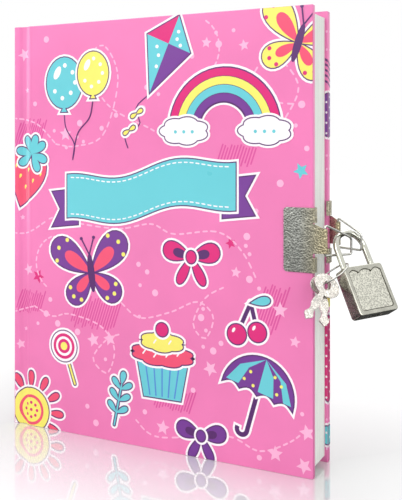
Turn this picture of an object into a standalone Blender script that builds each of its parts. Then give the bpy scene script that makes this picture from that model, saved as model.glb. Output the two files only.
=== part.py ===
"""A lock diary: a case-bound book of leaves, held shut by two wire bails and a small padlock.

Metres, +Z up. The diary stands on its tail with the spine towards -X, the fore-edge
towards +X and the front cover towards -Y. The origin is on the foot of the back cover.
Depths are measured inwards from the outer face of a cover, so one function draws a piece
for the front (side -1) and for the back (side +1).
"""

import math

import bmesh
import bpy
from mathutils import Matrix, Vector

MM = 0.001

# Case of the book
CASE_HEIGHT = 200.0 * MM
CASE_WIDTH = 158.5 * MM
CASE_THICKNESS = 23.5 * MM
BOARD = 2.2 * MM
SPINE_BOARD = 2.0 * MM
WRAP = 0.25 * MM
PASTEDOWN = 0.2 * MM
GLUE_GAP = 0.05 * MM
TURN_IN = 15.0 * MM
CASE_EDGE_RADIUS = 0.7 * MM

# Joint between the spine and each cover
JOINT_WIDTH = 10.0 * MM
JOINT_HINGE = 6.5 * MM
JOINT_SHOULDER = 2.6 * MM
JOINT_SLOPE = 1.9 * MM
JOINT_DEPTH = 1.3 * MM
JOINT_SKIN = 0.6 * MM
HINGE_OUTSIDE = 0.15 * MM
HINGE_GAP = 0.15 * MM

# Text block
SQUARE_HEAD = 3.0 * MM
SQUARE_FORE = 1.5 * MM
SIGNATURE_COUNT = 6
SIGNATURE_GAP = 0.05 * MM
BLOCK_GAP = 0.15 * MM
SPINE_LINING = 0.3 * MM
LINING_MARGIN = 4.0 * MM
LEAF = 0.2 * MM
LEAF_PITCH = 0.3 * MM
LEAF_STAGGER = 0.4 * MM
LEAF_HINGE = 7.5 * MM
FRONT_LEAVES = 4

# Hasps, one on each cover
HASP_SHEET = 0.5 * MM
HASP_CENTRE = 100.6 * MM
BACK_HASP_RAISE = 1.6 * MM
PLATE_WIDTH = 13.0 * MM
PLATE_HEIGHT = 27.4 * MM
PLATE_RADIUS = 1.5 * MM
CLAW_HEIGHT = 6.4 * MM
CLAW_STANDOFF = 0.6 * MM
CLAW_LIP = 1.1 * MM
BEND_RADIUS = 0.5 * MM
NECK_RISE = 2.2 * MM
BARREL_REACH = 4.4 * MM
BARREL_DEPTH = 2.45 * MM
BARREL_FOOT_CLEAR = 1.0 * MM
BARREL_HEAD_CLEAR = 1.8 * MM
BARREL_BORE = 0.68 * MM
BARREL_CURL_DEG = 285.0

# Wire bails
BAIL_WIRE = 1.0 * MM
BAIL_REACH = 13.45 * MM
BAIL_HEIGHT = 13.0 * MM
BAIL_DROP = 6.0 * MM
BAIL_CORNER = 1.8 * MM
BAIL_BEND = 0.9 * MM
BAIL_END_GAP = 1.0 * MM
FRONT_BAIL_DEG = 51.9
BACK_BAIL_DEG = 25.9

# Padlock
SHACKLE_WIRE = 2.7 * MM
SHACKLE_RADIUS = 7.15 * MM
SHACKLE_RISE = 16.0 * MM
LONG_LEG = 14.0 * MM
SHORT_LEG = 7.5 * MM
LEG_CLEARANCE = 0.15 * MM
LOCK_WIDTH = 20.0 * MM
LOCK_HEIGHT = 21.0 * MM
LOCK_THICKNESS = 6.5 * MM
LOCK_SHEET = 0.7 * MM
LOCK_CORNER = 1.4 * MM
LOCK_CORNER_LEAST = 0.2 * MM
LOCK_EDGE = 0.6 * MM
PANEL_MARGIN = 1.7 * MM
PANEL_DEPTH = 0.25 * MM
PANEL_LOBE = 2.3 * MM
LOBE_DIP = 0.16
LOBE_STEPS = 10
SIDE_LOBE = 0.6
BACK_PLATE_SHEET = 0.8 * MM
KEYHOLE_WIDTH = 5.2 * MM
KEYHOLE_HEIGHT = 1.4 * MM
LATCH_LENGTH = 4.0 * MM
LATCH_HEIGHT = 1.1 * MM
LATCH_DEPTH = 2.4 * MM
LATCH_NOSE = 0.5 * MM
NOTCH_DROP = 3.0 * MM
NOTCH_HEIGHT = 3.2 * MM
SPRING_SHEET = 0.3 * MM
SPRING_HEIGHT = 6.0 * MM
SPRING_BOW = 1.2 * MM

# How the padlock hangs: its arc's centre, the way its face looks, its lean and its swing
LOCK_FROM_FORE_EDGE = 12.88 * MM
LOCK_FROM_MIDDLE = -0.07 * MM
LOCK_ARC_HEIGHT = 96.79 * MM
LOCK_TURN_DEG = 52.5
LOCK_LEAN_DEG = 3.4
LOCK_SWING_DEG = 30.0

# Key ring and keys
RING_WIRE = 0.7 * MM
RING_RADIUS = 7.2 * MM
RING_RISE = 1.29 * MM
RING_TILT_DEG = 30.71
RING_SPIN_DEG = -23.65
RING_AWAY_DEG = 21.63
RING_GAP = 0.4 * MM
KEY_SHEET = 0.9 * MM
KEY_BOW_WIDTH = 12.0 * MM
KEY_BOW_HEIGHT = 8.8 * MM
KEY_HOLE_RADIUS = 1.85 * MM
KEY_NECK = 2.4 * MM
KEY_SHANK_WIDTH = 4.2 * MM
KEY_LENGTH = 21.6 * MM
KEY_GAP = 0.3 * MM
BOW_STEPS = 36
VIEW_SIDE_DEG = 15.4

# How each key hangs, in degrees: its place on the ring, the turn and lift of its face,
# its lean, and the side of its hole that bears on the wire
KEY_1_HANG = (44.24, 31.09, 18.78, -43.34, -55.78)
KEY_2_HANG = (19.37, 27.1, 25.0, -10.33, -64.04)

# Places worked out from the sizes above
SPINE_X = -CASE_WIDTH / 2
FORE_X = CASE_WIDTH / 2
COVER = 2 * WRAP + BOARD + 2 * GLUE_GAP
COVER_LINED = COVER + GLUE_GAP + PASTEDOWN
MIDDLE_Y = COVER / 2 - CASE_THICKNESS / 2
HINGE_X = SPINE_X + JOINT_HINGE
BOARD_X = SPINE_X + JOINT_WIDTH
BLOCK_DEPTH = COVER_LINED + BLOCK_GAP
BLOCK_BACK_X = SPINE_X + 2 * WRAP + SPINE_BOARD + 4 * GLUE_GAP + SPINE_LINING + GLUE_GAP
BLOCK_FORE_X = FORE_X - SQUARE_FORE
LEAF_X = SPINE_X + LEAF_HINGE
DOWN = Vector((0.0, 0.0, -1.0))
BARREL_X = FORE_X + BARREL_REACH


def side_y(side, depth):
    """The y of a place that lies a depth inside the outer face of one cover."""
    return MIDDLE_Y + side * (CASE_THICKNESS / 2 - depth)


def clear_scene():
    for item in list(bpy.data.objects):
        bpy.data.objects.remove(item, do_unlink=True)


def finish(name, colour, roughness, metallic=0.0):
    """A material with one Principled shader."""
    material = bpy.data.materials.new(name)
    material.use_nodes = True
    shader = material.node_tree.nodes["Principled BSDF"]
    shader.inputs["Base Color"].default_value = (*colour, 1.0)
    shader.inputs["Roughness"].default_value = roughness
    shader.inputs["Metallic"].default_value = metallic
    return material


def add_object(name, data, material=None):
    """Put a mesh or curve into the scene under a name, with its own material."""
    item = bpy.data.objects.new(name, data)
    bpy.context.scene.collection.objects.link(item)
    if material:
        data.materials.append(material)
    return item


def from_bmesh(name, shape, material=None, smooth_deg=None):
    """Make an object from a bmesh, with its faces turned outwards."""
    bmesh.ops.recalc_face_normals(shape, faces=shape.faces)
    mesh = bpy.data.meshes.new(name)
    shape.to_mesh(mesh)
    shape.free()
    item = add_object(name, mesh, material)
    if smooth_deg:
        mesh.shade_smooth()
        mesh.set_sharp_from_angle(angle=math.radians(smooth_deg))
    return item


def hinge_empty(name, matrix):
    """An empty that holds the pieces of one moving body, at its joint."""
    empty = bpy.data.objects.new(name, None)
    empty.empty_display_size = 0.01
    bpy.context.scene.collection.objects.link(empty)
    empty.matrix_world = matrix
    return empty


def attach(item, empty, in_place=True):
    """Parent a piece to its joint's empty; a piece drawn in world axes stays where it is."""
    if in_place:
        item.data.transform(empty.matrix_world.inverted())
    item.parent = empty
    return item


def prism(outline, low, high, axis="Z"):
    """A closed outline of (a, b) points, extruded along Z, or along Y with b as the height."""
    shape = bmesh.new()
    if axis == "Z":
        ring = [shape.verts.new((a, b, low)) for a, b in outline]
        step = Vector((0, 0, high - low))
    else:
        ring = [shape.verts.new((a, low, b)) for a, b in outline]
        step = Vector((0, high - low, 0))
    face = shape.faces.new(ring)
    grown = bmesh.ops.extrude_face_region(shape, geom=[face])
    moved = [part for part in grown["geom"] if isinstance(part, bmesh.types.BMVert)]
    bmesh.ops.translate(shape, verts=moved, vec=step)
    bmesh.ops.recalc_face_normals(shape, faces=shape.faces)
    return shape


def box(low, high):
    """A box between two corners."""
    outline = [(low[0], low[1]), (high[0], low[1]), (high[0], high[1]), (low[0], high[1])]
    return prism(outline, low[2], high[2])


def side_box(side, x_range, depth_range, z_range):
    """A box given by its depths inside one cover."""
    near, far = sorted(side_y(side, depth) for depth in depth_range)
    return box((x_range[0], near, z_range[0]), (x_range[1], far, z_range[1]))


def soften(shape, width, keep, segments=2):
    """Bevel the sharp edges whose two ends pass a test."""
    edges = [
        edge
        for edge in shape.edges
        if edge.calc_face_angle(0) > math.radians(50) and all(keep(v.co) for v in edge.verts)
    ]
    bmesh.ops.bevel(shape, geom=edges, offset=width, segments=segments, profile=0.5, affect="EDGES")


def combine(item, other, operation="DIFFERENCE"):
    """Boolean one object with another, which stays in the scene only as a guide."""
    step = item.modifiers.new(other.name, "BOOLEAN")
    step.operation = operation
    step.solver = "EXACT"
    step.object = other
    other.hide_render = True
    other.display_type = "WIRE"


def cut(item, name, shape, parent=None):
    """Cut a bmesh shape out of an object."""
    cutter = from_bmesh(f"{name}_cutter", shape)
    if parent:
        cutter.parent = parent
    combine(item, cutter)


def join(item, name, shape, parent=None):
    """Add a bmesh shape to an object."""
    guide = from_bmesh(f"{name}_guide", shape)
    if parent:
        guide.parent = parent
    combine(item, guide, "UNION")


def arc(centre, radius, start_deg, end_deg, steps):
    """Points on an arc in a plane, both ends included."""
    turns = [math.radians(start_deg + (end_deg - start_deg) * i / steps) for i in range(steps + 1)]
    return [(centre[0] + radius * math.cos(t), centre[1] + radius * math.sin(t)) for t in turns]


def rounded_outline(corners, steps=4):
    """A closed outline from (x, y, radius) corners, each rounded by an arc of its radius."""
    outline = []
    count = len(corners)
    for index, (x, y, radius) in enumerate(corners):
        here = Vector((x, y))
        before = (Vector(corners[index - 1][:2]) - here).normalized()
        after = (Vector(corners[(index + 1) % count][:2]) - here).normalized()
        outline += bend(here, before, after, radius, steps)
    return outline


def bend(corner, before, after, radius, steps):
    """The points of an arc that rounds one corner, between its two unit directions."""
    if radius <= 0:
        return [tuple(corner)]
    half = before.angle(after) / 2
    reach = radius / math.tan(half)
    middle = corner + (before + after).normalized() * (radius / math.sin(half))
    first = (corner + before * reach) - middle
    last = (corner + after * reach) - middle
    sweep = first.angle(last)
    points = []
    for i in range(steps + 1):
        t = i / steps
        weight_a = math.sin((1 - t) * sweep) / math.sin(sweep)
        weight_b = math.sin(t * sweep) / math.sin(sweep)
        points.append(tuple(middle + first * weight_a + last * weight_b))
    return points


def rounded_path(corners, radii, steps=4):
    """An open path through 3D corners, each inner corner rounded by its radius."""
    path = [tuple(corners[0])]
    for index in range(1, len(corners) - 1):
        here = corners[index]
        before = (corners[index - 1] - here).normalized()
        after = (corners[index + 1] - here).normalized()
        path += bend(here, before, after, radii[index - 1], steps)
    path.append(tuple(corners[-1]))
    return path


def wire(name, path, diameter, material, closed=False, resolution=2):
    """A round wire along a path: a curve with a bevel, turned into a closed mesh."""
    curve = bpy.data.curves.new(name, "CURVE")
    curve.dimensions = "3D"
    curve.bevel_depth = diameter / 2
    curve.bevel_resolution = resolution
    curve.use_fill_caps = not closed
    spline = curve.splines.new("POLY")
    spline.points.add(len(path) - 1)
    for point, place in zip(spline.points, path):
        point.co = (*place, 1.0)
    spline.use_cyclic_u = closed
    drawn = add_object(f"{name}_path", curve)
    bpy.context.view_layer.update()
    evaluated = drawn.evaluated_get(bpy.context.evaluated_depsgraph_get())
    mesh = bpy.data.meshes.new_from_object(evaluated)
    bpy.data.objects.remove(drawn, do_unlink=True)
    shape = bmesh.new()
    shape.from_mesh(mesh)
    bmesh.ops.remove_doubles(shape, verts=shape.verts, dist=1e-7)
    return from_bmesh(name, shape, material, smooth_deg=50)


def slope(x_start, x_end, depth_start, depth_end, steps=5):
    """The soft step of the covering between two depths, as (x, depth) points."""
    points = []
    for i in range(steps + 1):
        t = i / steps
        ease = (1 - math.cos(math.pi * t)) / 2
        points.append((x_start + (x_end - x_start) * t, depth_start + (depth_end - depth_start) * ease))
    return points


def cover_wrap(side, name, material):
    """The printed paper on one cover, turned in over three edges, with its half of the joint."""
    joint_inside = JOINT_DEPTH + JOINT_SKIN
    outside = [(HINGE_X + HINGE_GAP, JOINT_DEPTH)]
    outside += slope(BOARD_X - JOINT_SLOPE, BOARD_X, JOINT_DEPTH, 0.0)
    outside += [(FORE_X, 0.0), (FORE_X, COVER), (BOARD_X - WRAP, COVER)]
    outside += [(BOARD_X - WRAP, joint_inside), (HINGE_X + HINGE_GAP, joint_inside)]
    outline = [(x, side_y(side, depth)) for x, depth in outside]
    shape = prism(outline, 0.0, CASE_HEIGHT)
    soften(shape, CASE_EDGE_RADIUS / 2, lambda place: place.x > BOARD_X - WRAP / 2)
    item = from_bmesh(name, shape, material, smooth_deg=40)
    room = side_box(
        side,
        (BOARD_X + WRAP, FORE_X - WRAP),
        (WRAP, COVER - WRAP),
        (WRAP, CASE_HEIGHT - WRAP),
    )
    cut(item, f"{name}_board_room", room)
    window = side_box(
        side,
        (BOARD_X + 4 * WRAP, FORE_X - TURN_IN),
        (COVER - 2 * WRAP, COVER + WRAP),
        (TURN_IN, CASE_HEIGHT - TURN_IN),
    )
    cut(item, f"{name}_turn_in_window", window)
    return item


def cover_board(side, name, material):
    """The grey board inside one cover."""
    shape = side_box(
        side,
        (BOARD_X + WRAP + GLUE_GAP, FORE_X - WRAP - GLUE_GAP),
        (WRAP + GLUE_GAP, WRAP + GLUE_GAP + BOARD),
        (WRAP + GLUE_GAP, CASE_HEIGHT - WRAP - GLUE_GAP),
    )
    return from_bmesh(name, shape, material)


def pastedown(side, name, material):
    """The end paper glued inside one cover."""
    shape = side_box(
        side,
        (BOARD_X, FORE_X - SQUARE_FORE - WRAP),
        (COVER + GLUE_GAP, COVER_LINED),
        (SQUARE_HEAD, CASE_HEIGHT - SQUARE_HEAD),
    )
    return from_bmesh(name, shape, material)


def spine_wrap(name, material):
    """The same printed paper round the spine, reaching into both joints."""
    joint_inside = JOINT_DEPTH + JOINT_SKIN
    shoulder_x = SPINE_X + JOINT_SHOULDER
    inner_x = SPINE_X + 2 * WRAP + SPINE_BOARD + 2 * GLUE_GAP
    outer = [(HINGE_X - HINGE_GAP, JOINT_DEPTH)]
    outer += slope(shoulder_x + JOINT_SLOPE, shoulder_x, JOINT_DEPTH, 0.0)
    corner = (SPINE_X + CASE_EDGE_RADIUS, CASE_EDGE_RADIUS)
    outer += arc(corner, CASE_EDGE_RADIUS, -90, -180, 4)
    front = [(x, side_y(-1, depth)) for x, depth in outer]
    back = [(x, side_y(1, depth)) for x, depth in reversed(outer)]
    inner_depths = [(HINGE_X - HINGE_GAP, joint_inside), (inner_x, joint_inside)]
    inside = [(x, side_y(1, depth)) for x, depth in inner_depths]
    inside += [(x, side_y(-1, depth)) for x, depth in reversed(inner_depths)]
    item = from_bmesh(name, prism(front + back + inside, 0.0, CASE_HEIGHT), material, smooth_deg=40)
    room = box(
        (SPINE_X + WRAP, side_y(-1, WRAP), WRAP),
        (inner_x - WRAP, side_y(1, WRAP), CASE_HEIGHT - WRAP),
    )
    cut(item, f"{name}_board_room", room)
    window = box(
        (inner_x - 2 * WRAP, side_y(-1, joint_inside + WRAP), TURN_IN),
        (inner_x + WRAP, side_y(1, joint_inside + WRAP), CASE_HEIGHT - TURN_IN),
    )
    cut(item, f"{name}_turn_in_window", window)
    return item


def spine_board(name, material):
    """The stiff strip inside the spine."""
    start = SPINE_X + WRAP + GLUE_GAP
    inset = WRAP + GLUE_GAP
    shape = box(
        (start, side_y(-1, inset), inset),
        (start + SPINE_BOARD, side_y(1, inset), CASE_HEIGHT - inset),
    )
    return from_bmesh(name, shape, material)


def spine_lining(name, material):
    """The strip glued over the backs of the sections."""
    far = BLOCK_BACK_X - GLUE_GAP
    shape = box(
        (far - SPINE_LINING, side_y(-1, BLOCK_DEPTH), LINING_MARGIN),
        (far, side_y(1, BLOCK_DEPTH), CASE_HEIGHT - LINING_MARGIN),
    )
    return from_bmesh(name, shape, material)


def signatures(material):
    """The sections of the text block: folded sheets, each with a rounded back."""
    front_depth = BLOCK_DEPTH + FRONT_LEAVES * LEAF_PITCH
    first_y = side_y(-1, front_depth)
    last_y = side_y(1, BLOCK_DEPTH + LEAF_PITCH)
    pitch = (last_y - first_y) / SIGNATURE_COUNT
    thick = pitch - SIGNATURE_GAP
    items = []
    for index in range(SIGNATURE_COUNT):
        low = first_y + index * pitch
        centre = (BLOCK_BACK_X + thick / 2, low + thick / 2)
        outline = arc(centre, thick / 2, 90, 270, 8)
        outline += [(BLOCK_FORE_X, low), (BLOCK_FORE_X, low + thick)]
        shape = prism(outline, SQUARE_HEAD, CASE_HEIGHT - SQUARE_HEAD)
        items.append(from_bmesh(f"signature_{index + 1}", shape, material, smooth_deg=40))
    return items


def leaf(side, name, place, material):
    """One free leaf; place 0 lies against the cover."""
    depth = BLOCK_DEPTH + place * LEAF_PITCH
    start = LEAF_X + place * LEAF_STAGGER
    shape = side_box(
        side,
        (start, BLOCK_FORE_X),
        (depth, depth + LEAF),
        (SQUARE_HEAD, CASE_HEIGHT - SQUARE_HEAD),
    )
    hinge = Matrix.Translation((start, side_y(side, depth), 0.0))
    empty = hinge_empty(f"{name}_fold", hinge)
    return attach(from_bmesh(name, shape, material), empty)


def leaf_stubs(side, name, count, material):
    """The glued back edge of the free leaves."""
    shape = side_box(
        side,
        (BLOCK_BACK_X, LEAF_X - HINGE_GAP),
        (BLOCK_DEPTH, BLOCK_DEPTH + count * LEAF_PITCH - SIGNATURE_GAP),
        (SQUARE_HEAD, CASE_HEIGHT - SQUARE_HEAD),
    )
    return from_bmesh(name, shape, material)


def ribbon(path, thickness, lows, highs):
    """Sheet metal bent along a path in plan; its lower and upper edges may rise or fall."""
    points = [Vector(place) for place in path]
    shape = bmesh.new()
    rings = []
    for index, here in enumerate(points):
        before = points[max(index - 1, 0)]
        after = points[min(index + 1, len(points) - 1)]
        along = (after - before).normalized()
        across = Vector((-along.y, along.x)) * (thickness / 2)
        left, right = here + across, here - across
        low, high = lows[index], highs[index]
        corners = [(left, low), (right, low), (right, high), (left, high)]
        rings.append([shape.verts.new((p.x, p.y, z)) for p, z in corners])
    for one, two in zip(rings[:-1], rings[1:]):
        for i in range(4):
            j = (i + 1) % 4
            shape.faces.new((one[i], one[j], two[j], two[i]))
    shape.faces.new(rings[0])
    shape.faces.new(reversed(rings[-1]))
    bmesh.ops.recalc_face_normals(shape, faces=shape.faces)
    return shape


def tongue_path():
    """The plan of the tongue, as (x, depth): straight, bent inwards, then rolled into a barrel."""
    start = Vector((FORE_X + CLAW_STANDOFF, -GLUE_GAP - HASP_SHEET / 2))
    centre = Vector((BARREL_X, BARREL_DEPTH))
    roll = BARREL_BORE + HASP_SHEET / 2
    gap = centre - start
    turn = math.asin(roll / gap.length)
    heading = math.atan2(gap.y, gap.x) - turn
    touch_deg = math.degrees(heading) - 90
    path = [(FORE_X - PLATE_WIDTH / 3, start.y), tuple(start)]
    path += arc(centre, roll, touch_deg, touch_deg + BARREL_CURL_DEG, 20)
    return path


def claw_path():
    """The plan of a claw, as (x, depth): round the fore-edge and a short way back inside."""
    outside = -GLUE_GAP - HASP_SHEET / 2
    inside = COVER_LINED + BLOCK_GAP + HASP_SHEET / 2
    edge = FORE_X + CLAW_STANDOFF
    corners = [
        Vector((FORE_X - PLATE_WIDTH / 3, outside)),
        Vector((edge, outside)),
        Vector((edge, inside)),
        Vector((edge - CLAW_LIP, inside)),
    ]
    return rounded_path(corners, [BEND_RADIUS, BEND_RADIUS], 3)


def hasp(side, name, centre_z, material):
    """A pressed plate with two claws round the fore-edge and a tongue rolled into a barrel."""

    def place(path):
        return [(x, side_y(side, depth)) for x, depth in path]

    low, high = centre_z - PLATE_HEIGHT / 2, centre_z + PLATE_HEIGHT / 2
    outline = rounded_outline(
        [
            (FORE_X - PLATE_WIDTH, low, PLATE_RADIUS),
            (FORE_X, low, 0),
            (FORE_X, high, 0),
            (FORE_X - PLATE_WIDTH, high, PLATE_RADIUS),
        ]
    )
    faces = sorted((side_y(side, -GLUE_GAP - HASP_SHEET), side_y(side, -GLUE_GAP)))
    item = from_bmesh(name, prism(outline, faces[0], faces[1], axis="Y"), material, smooth_deg=40)
    claw = place(claw_path())
    for label, bottom in (("lower", low), ("upper", high - CLAW_HEIGHT)):
        count = len(claw)
        shape = ribbon(claw, HASP_SHEET, [bottom] * count, [bottom + CLAW_HEIGHT] * count)
        join(item, f"{name}_{label}_claw", shape)
    tongue = place(tongue_path())
    bottom = centre_z - BAIL_HEIGHT / 2 + BARREL_FOOT_CLEAR
    top = centre_z + BAIL_HEIGHT / 2 - BARREL_HEAD_CLEAR
    lows = [bottom] * len(tongue)
    highs = [top + NECK_RISE] * 2 + [top] * (len(tongue) - 2)
    join(item, f"{name}_tongue", ribbon(tongue, HASP_SHEET, lows, highs))
    return item


def bail(side, name, centre_z, swing_deg, material):
    """A wire loop with both ends inside the barrel, swung in towards the other bail."""
    barrel = Vector((BARREL_X, side_y(side, BARREL_DEPTH), 0.0))
    turn = math.radians(swing_deg)
    out = Vector((math.cos(turn), -side * math.sin(turn), 0.0)) * BAIL_REACH
    up = Vector((0.0, 0.0, 1.0))
    low, high = centre_z - BAIL_HEIGHT / 2, centre_z + BAIL_HEIGHT / 2
    corners = [
        barrel + up * (centre_z + BAIL_END_GAP / 2),
        barrel + up * high,
        barrel + out + up * (high - BAIL_DROP),
        barrel + out + up * low,
        barrel + up * low,
        barrel + up * (centre_z - BAIL_END_GAP / 2),
    ]
    path = rounded_path(corners, [BAIL_BEND, BAIL_CORNER, BAIL_BEND, BAIL_BEND])
    item = wire(name, path, BAIL_WIRE, material)
    empty = hinge_empty(f"{name}_pin", Matrix.Translation(barrel))
    return attach(item, empty)


def lock_matrix():
    """The padlock's place: local X across its face, Z up its legs, and -Y out of its face."""
    place = Vector((FORE_X + LOCK_FROM_FORE_EDGE, MIDDLE_Y + LOCK_FROM_MIDDLE, LOCK_ARC_HEIGHT))
    turn = Matrix.Rotation(math.radians(LOCK_TURN_DEG), 4, "Z")
    swing = Matrix.Rotation(-math.radians(LOCK_SWING_DEG), 4, "X")
    lean = Matrix.Rotation(-math.radians(LOCK_LEAN_DEG), 4, "Y")
    return Matrix.Translation(place) @ turn @ swing @ lean


def lock_top():
    """The height of the case's top in the padlock's own axes."""
    return SHACKLE_RADIUS - SHACKLE_RISE


def shackle(material, empty):
    """The polished bow: a long leg that stays in the case and a short one with a notch."""
    top = lock_top()
    path = [(-SHACKLE_RADIUS, 0.0, top - LONG_LEG), (-SHACKLE_RADIUS, 0.0, top)]
    path += [(x, 0.0, z) for x, z in arc((0.0, 0.0), SHACKLE_RADIUS, 180, 0, 20)]
    path += [(SHACKLE_RADIUS, 0.0, top), (SHACKLE_RADIUS, 0.0, top - SHORT_LEG)]
    item = wire("shackle", path, SHACKLE_WIRE, material, resolution=4)
    attach(item, empty, in_place=False)
    face = SHACKLE_RADIUS - SHACKLE_WIRE / 2
    notch = box(
        (face - SHACKLE_WIRE, -SHACKLE_WIRE, top - NOTCH_DROP - NOTCH_HEIGHT),
        (face + LATCH_NOSE + LEG_CLEARANCE, SHACKLE_WIRE, top - NOTCH_DROP),
    )
    cut(item, "shackle_notch", notch, empty)
    return item


def case_outline(inset):
    """The lock case's face as (x, z), drawn in by an inset."""
    half = LOCK_WIDTH / 2 - inset
    top = lock_top() - inset
    bottom = lock_top() - LOCK_HEIGHT + inset
    radius = max(LOCK_CORNER - inset, LOCK_CORNER_LEAST)
    return rounded_outline(
        [(-half, bottom, radius), (half, bottom, radius), (half, top, radius), (-half, top, radius)]
    )


def panel_outline():
    """The sunk panel on the lock's face: straight sides and a top edge of three lobes."""
    half = LOCK_WIDTH / 2 - PANEL_MARGIN
    bottom = lock_top() - LOCK_HEIGHT + PANEL_MARGIN
    foot = lock_top() - PANEL_MARGIN - PANEL_LOBE
    outline = [(-half, bottom + LOCK_CORNER)]
    outline += arc((-half + LOCK_CORNER, bottom + LOCK_CORNER), LOCK_CORNER, 180, 270, 3)[1:]
    outline += arc((half - LOCK_CORNER, bottom + LOCK_CORNER), LOCK_CORNER, 270, 360, 3)
    joins = [half, half * (1 - SIDE_LOBE), -half * (1 - SIDE_LOBE), -half]
    for start, end in zip(joins, joins[1:]):
        for i in range(LOBE_STEPS):
            t = LOBE_DIP + (1 - 2 * LOBE_DIP) * i / LOBE_STEPS
            across = start + (end - start) * i / LOBE_STEPS
            outline.append((across, foot + PANEL_LOBE * math.sin(math.pi * t)))
    outline.append((-half, foot + PANEL_LOBE * math.sin(math.pi * LOBE_DIP)))
    return outline


def front_shell(material, empty):
    """The stamped tray of the lock case, with two leg holes and a key slot."""
    face, back = -LOCK_THICKNESS / 2, LOCK_THICKNESS / 2
    shape = prism(case_outline(0.0), face, back, axis="Y")
    soften(shape, LOCK_EDGE, lambda place: place.y < 0)
    item = from_bmesh("padlock_front_shell", shape, material, smooth_deg=40)
    attach(item, empty, in_place=False)
    inside = prism(case_outline(LOCK_SHEET), face + LOCK_SHEET, back + LOCK_SHEET, axis="Y")
    cut(item, "padlock_inside", inside, empty)
    panel = prism(panel_outline(), face - LOCK_SHEET, face + PANEL_DEPTH, axis="Y")
    cut(item, "padlock_panel", panel, empty)
    top = lock_top()
    hole = SHACKLE_WIRE / 2 + LEG_CLEARANCE
    for label, x in (("long", -SHACKLE_RADIUS), ("short", SHACKLE_RADIUS)):
        ring = arc((x, 0.0), hole, 0, 345, 23)
        cut(item, f"padlock_{label}_leg_hole", prism(ring, top - 2 * LOCK_SHEET, top + LOCK_SHEET), empty)
    bottom = top - LOCK_HEIGHT
    slot = box(
        (-KEYHOLE_WIDTH / 2, -KEYHOLE_HEIGHT / 2, bottom - LOCK_SHEET),
        (KEYHOLE_WIDTH / 2, KEYHOLE_HEIGHT / 2, bottom + 2 * LOCK_SHEET),
    )
    cut(item, "padlock_key_slot", slot, empty)
    return item


def back_plate(material, empty):
    """The flat plate that closes the lock case from behind."""
    back = LOCK_THICKNESS / 2
    outline = case_outline(LOCK_SHEET + GLUE_GAP)
    shape = prism(outline, back - BACK_PLATE_SHEET, back, axis="Y")
    return attach(from_bmesh("padlock_back_plate", shape, material), empty, in_place=False)


def latch(material, empty):
    """The sliding bolt whose nose sits in the short leg's notch."""
    face = SHACKLE_RADIUS - SHACKLE_WIRE / 2
    high = lock_top() - NOTCH_DROP - LEG_CLEARANCE
    nose = face + LATCH_NOSE
    outline = [
        (nose - LATCH_LENGTH, high - LATCH_HEIGHT),
        (nose, high - LATCH_HEIGHT),
        (nose, high - LATCH_HEIGHT / 2),
        (nose - LATCH_NOSE, high),
        (nose - LATCH_LENGTH, high),
    ]
    shape = prism(outline, -LATCH_DEPTH / 2, LATCH_DEPTH / 2, axis="Y")
    return attach(from_bmesh("lock_latch", shape, material), empty, in_place=False)


def latch_spring(material, empty):
    """A bowed leaf spring on the case's floor, between the long leg and the latch."""
    x_back = -SHACKLE_RADIUS + SHACKLE_WIRE / 2 + 2 * LEG_CLEARANCE
    top = lock_top() - NOTCH_DROP + LATCH_HEIGHT
    front = -LOCK_THICKNESS / 2 + LOCK_SHEET + 2 * LEG_CLEARANCE
    back = LOCK_THICKNESS / 2 - BACK_PLATE_SHEET - 2 * LEG_CLEARANCE
    steps = 8
    outer, inner = [], []
    for i in range(steps + 1):
        t = i / steps
        bow = SPRING_BOW * math.sin(math.pi * t)
        outer.append((x_back + bow + SPRING_SHEET, top - SPRING_HEIGHT * t))
        inner.append((x_back + bow, top - SPRING_HEIGHT * t))
    shape = prism(outer + inner[::-1], front, back, axis="Y")
    item = from_bmesh("latch_spring", shape, material, smooth_deg=40)
    return attach(item, empty, in_place=False)


def view_axes():
    """The way across and the way out of the side that the keys show."""
    turn = math.radians(VIEW_SIDE_DEG)
    across = Vector((math.cos(turn), math.sin(turn), 0.0))
    out = Vector((math.sin(turn), -math.cos(turn), 0.0))
    return across, out


def flatten(direction, normal):
    """A direction laid into the plane that a normal stands on, one long."""
    return (direction - normal * direction.dot(normal)).normalized()


def ring_frame(lock):
    """Where the key ring hangs: its centre, its normal and its lowest direction."""
    across, out = view_axes()
    leg = lock @ Vector((-SHACKLE_RADIUS, 0.0, lock_top() + RING_RISE))
    up = lock.to_3x3() @ Vector((0.0, 0.0, 1.0))
    tilt = math.radians(RING_TILT_DEG)
    level = Matrix.Rotation(math.radians(RING_SPIN_DEG), 3, up) @ flatten(out, up)
    normal = (up * math.cos(tilt) + level * math.sin(tilt)).normalized()
    left = flatten(-across, normal)
    falling = normal.cross(left)
    if falling.z > 0:
        falling.negate()
    away = math.radians(RING_AWAY_DEG)
    reach = RING_RADIUS - RING_WIRE / 2 - SHACKLE_WIRE / 2 - RING_GAP
    centre = leg + (left * math.cos(away) + falling * math.sin(away)) * reach
    return centre, normal, flatten(DOWN, normal)


def key_ring(lock, material):
    """A plain wire ring round the shackle's long leg."""
    centre, normal, lowest = ring_frame(lock)
    side = normal.cross(lowest)
    path = []
    steps = 36
    for i in range(steps):
        turn = 2 * math.pi * i / steps
        path.append(tuple(centre + (lowest * math.cos(turn) + side * math.sin(turn)) * RING_RADIUS))
    item = wire("key_ring", path, RING_WIRE, material, closed=True)
    empty = hinge_empty("key_ring_swing", Matrix.Translation(lock @ Vector((-SHACKLE_RADIUS, 0.0, 0.0))))
    return attach(item, empty)


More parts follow.
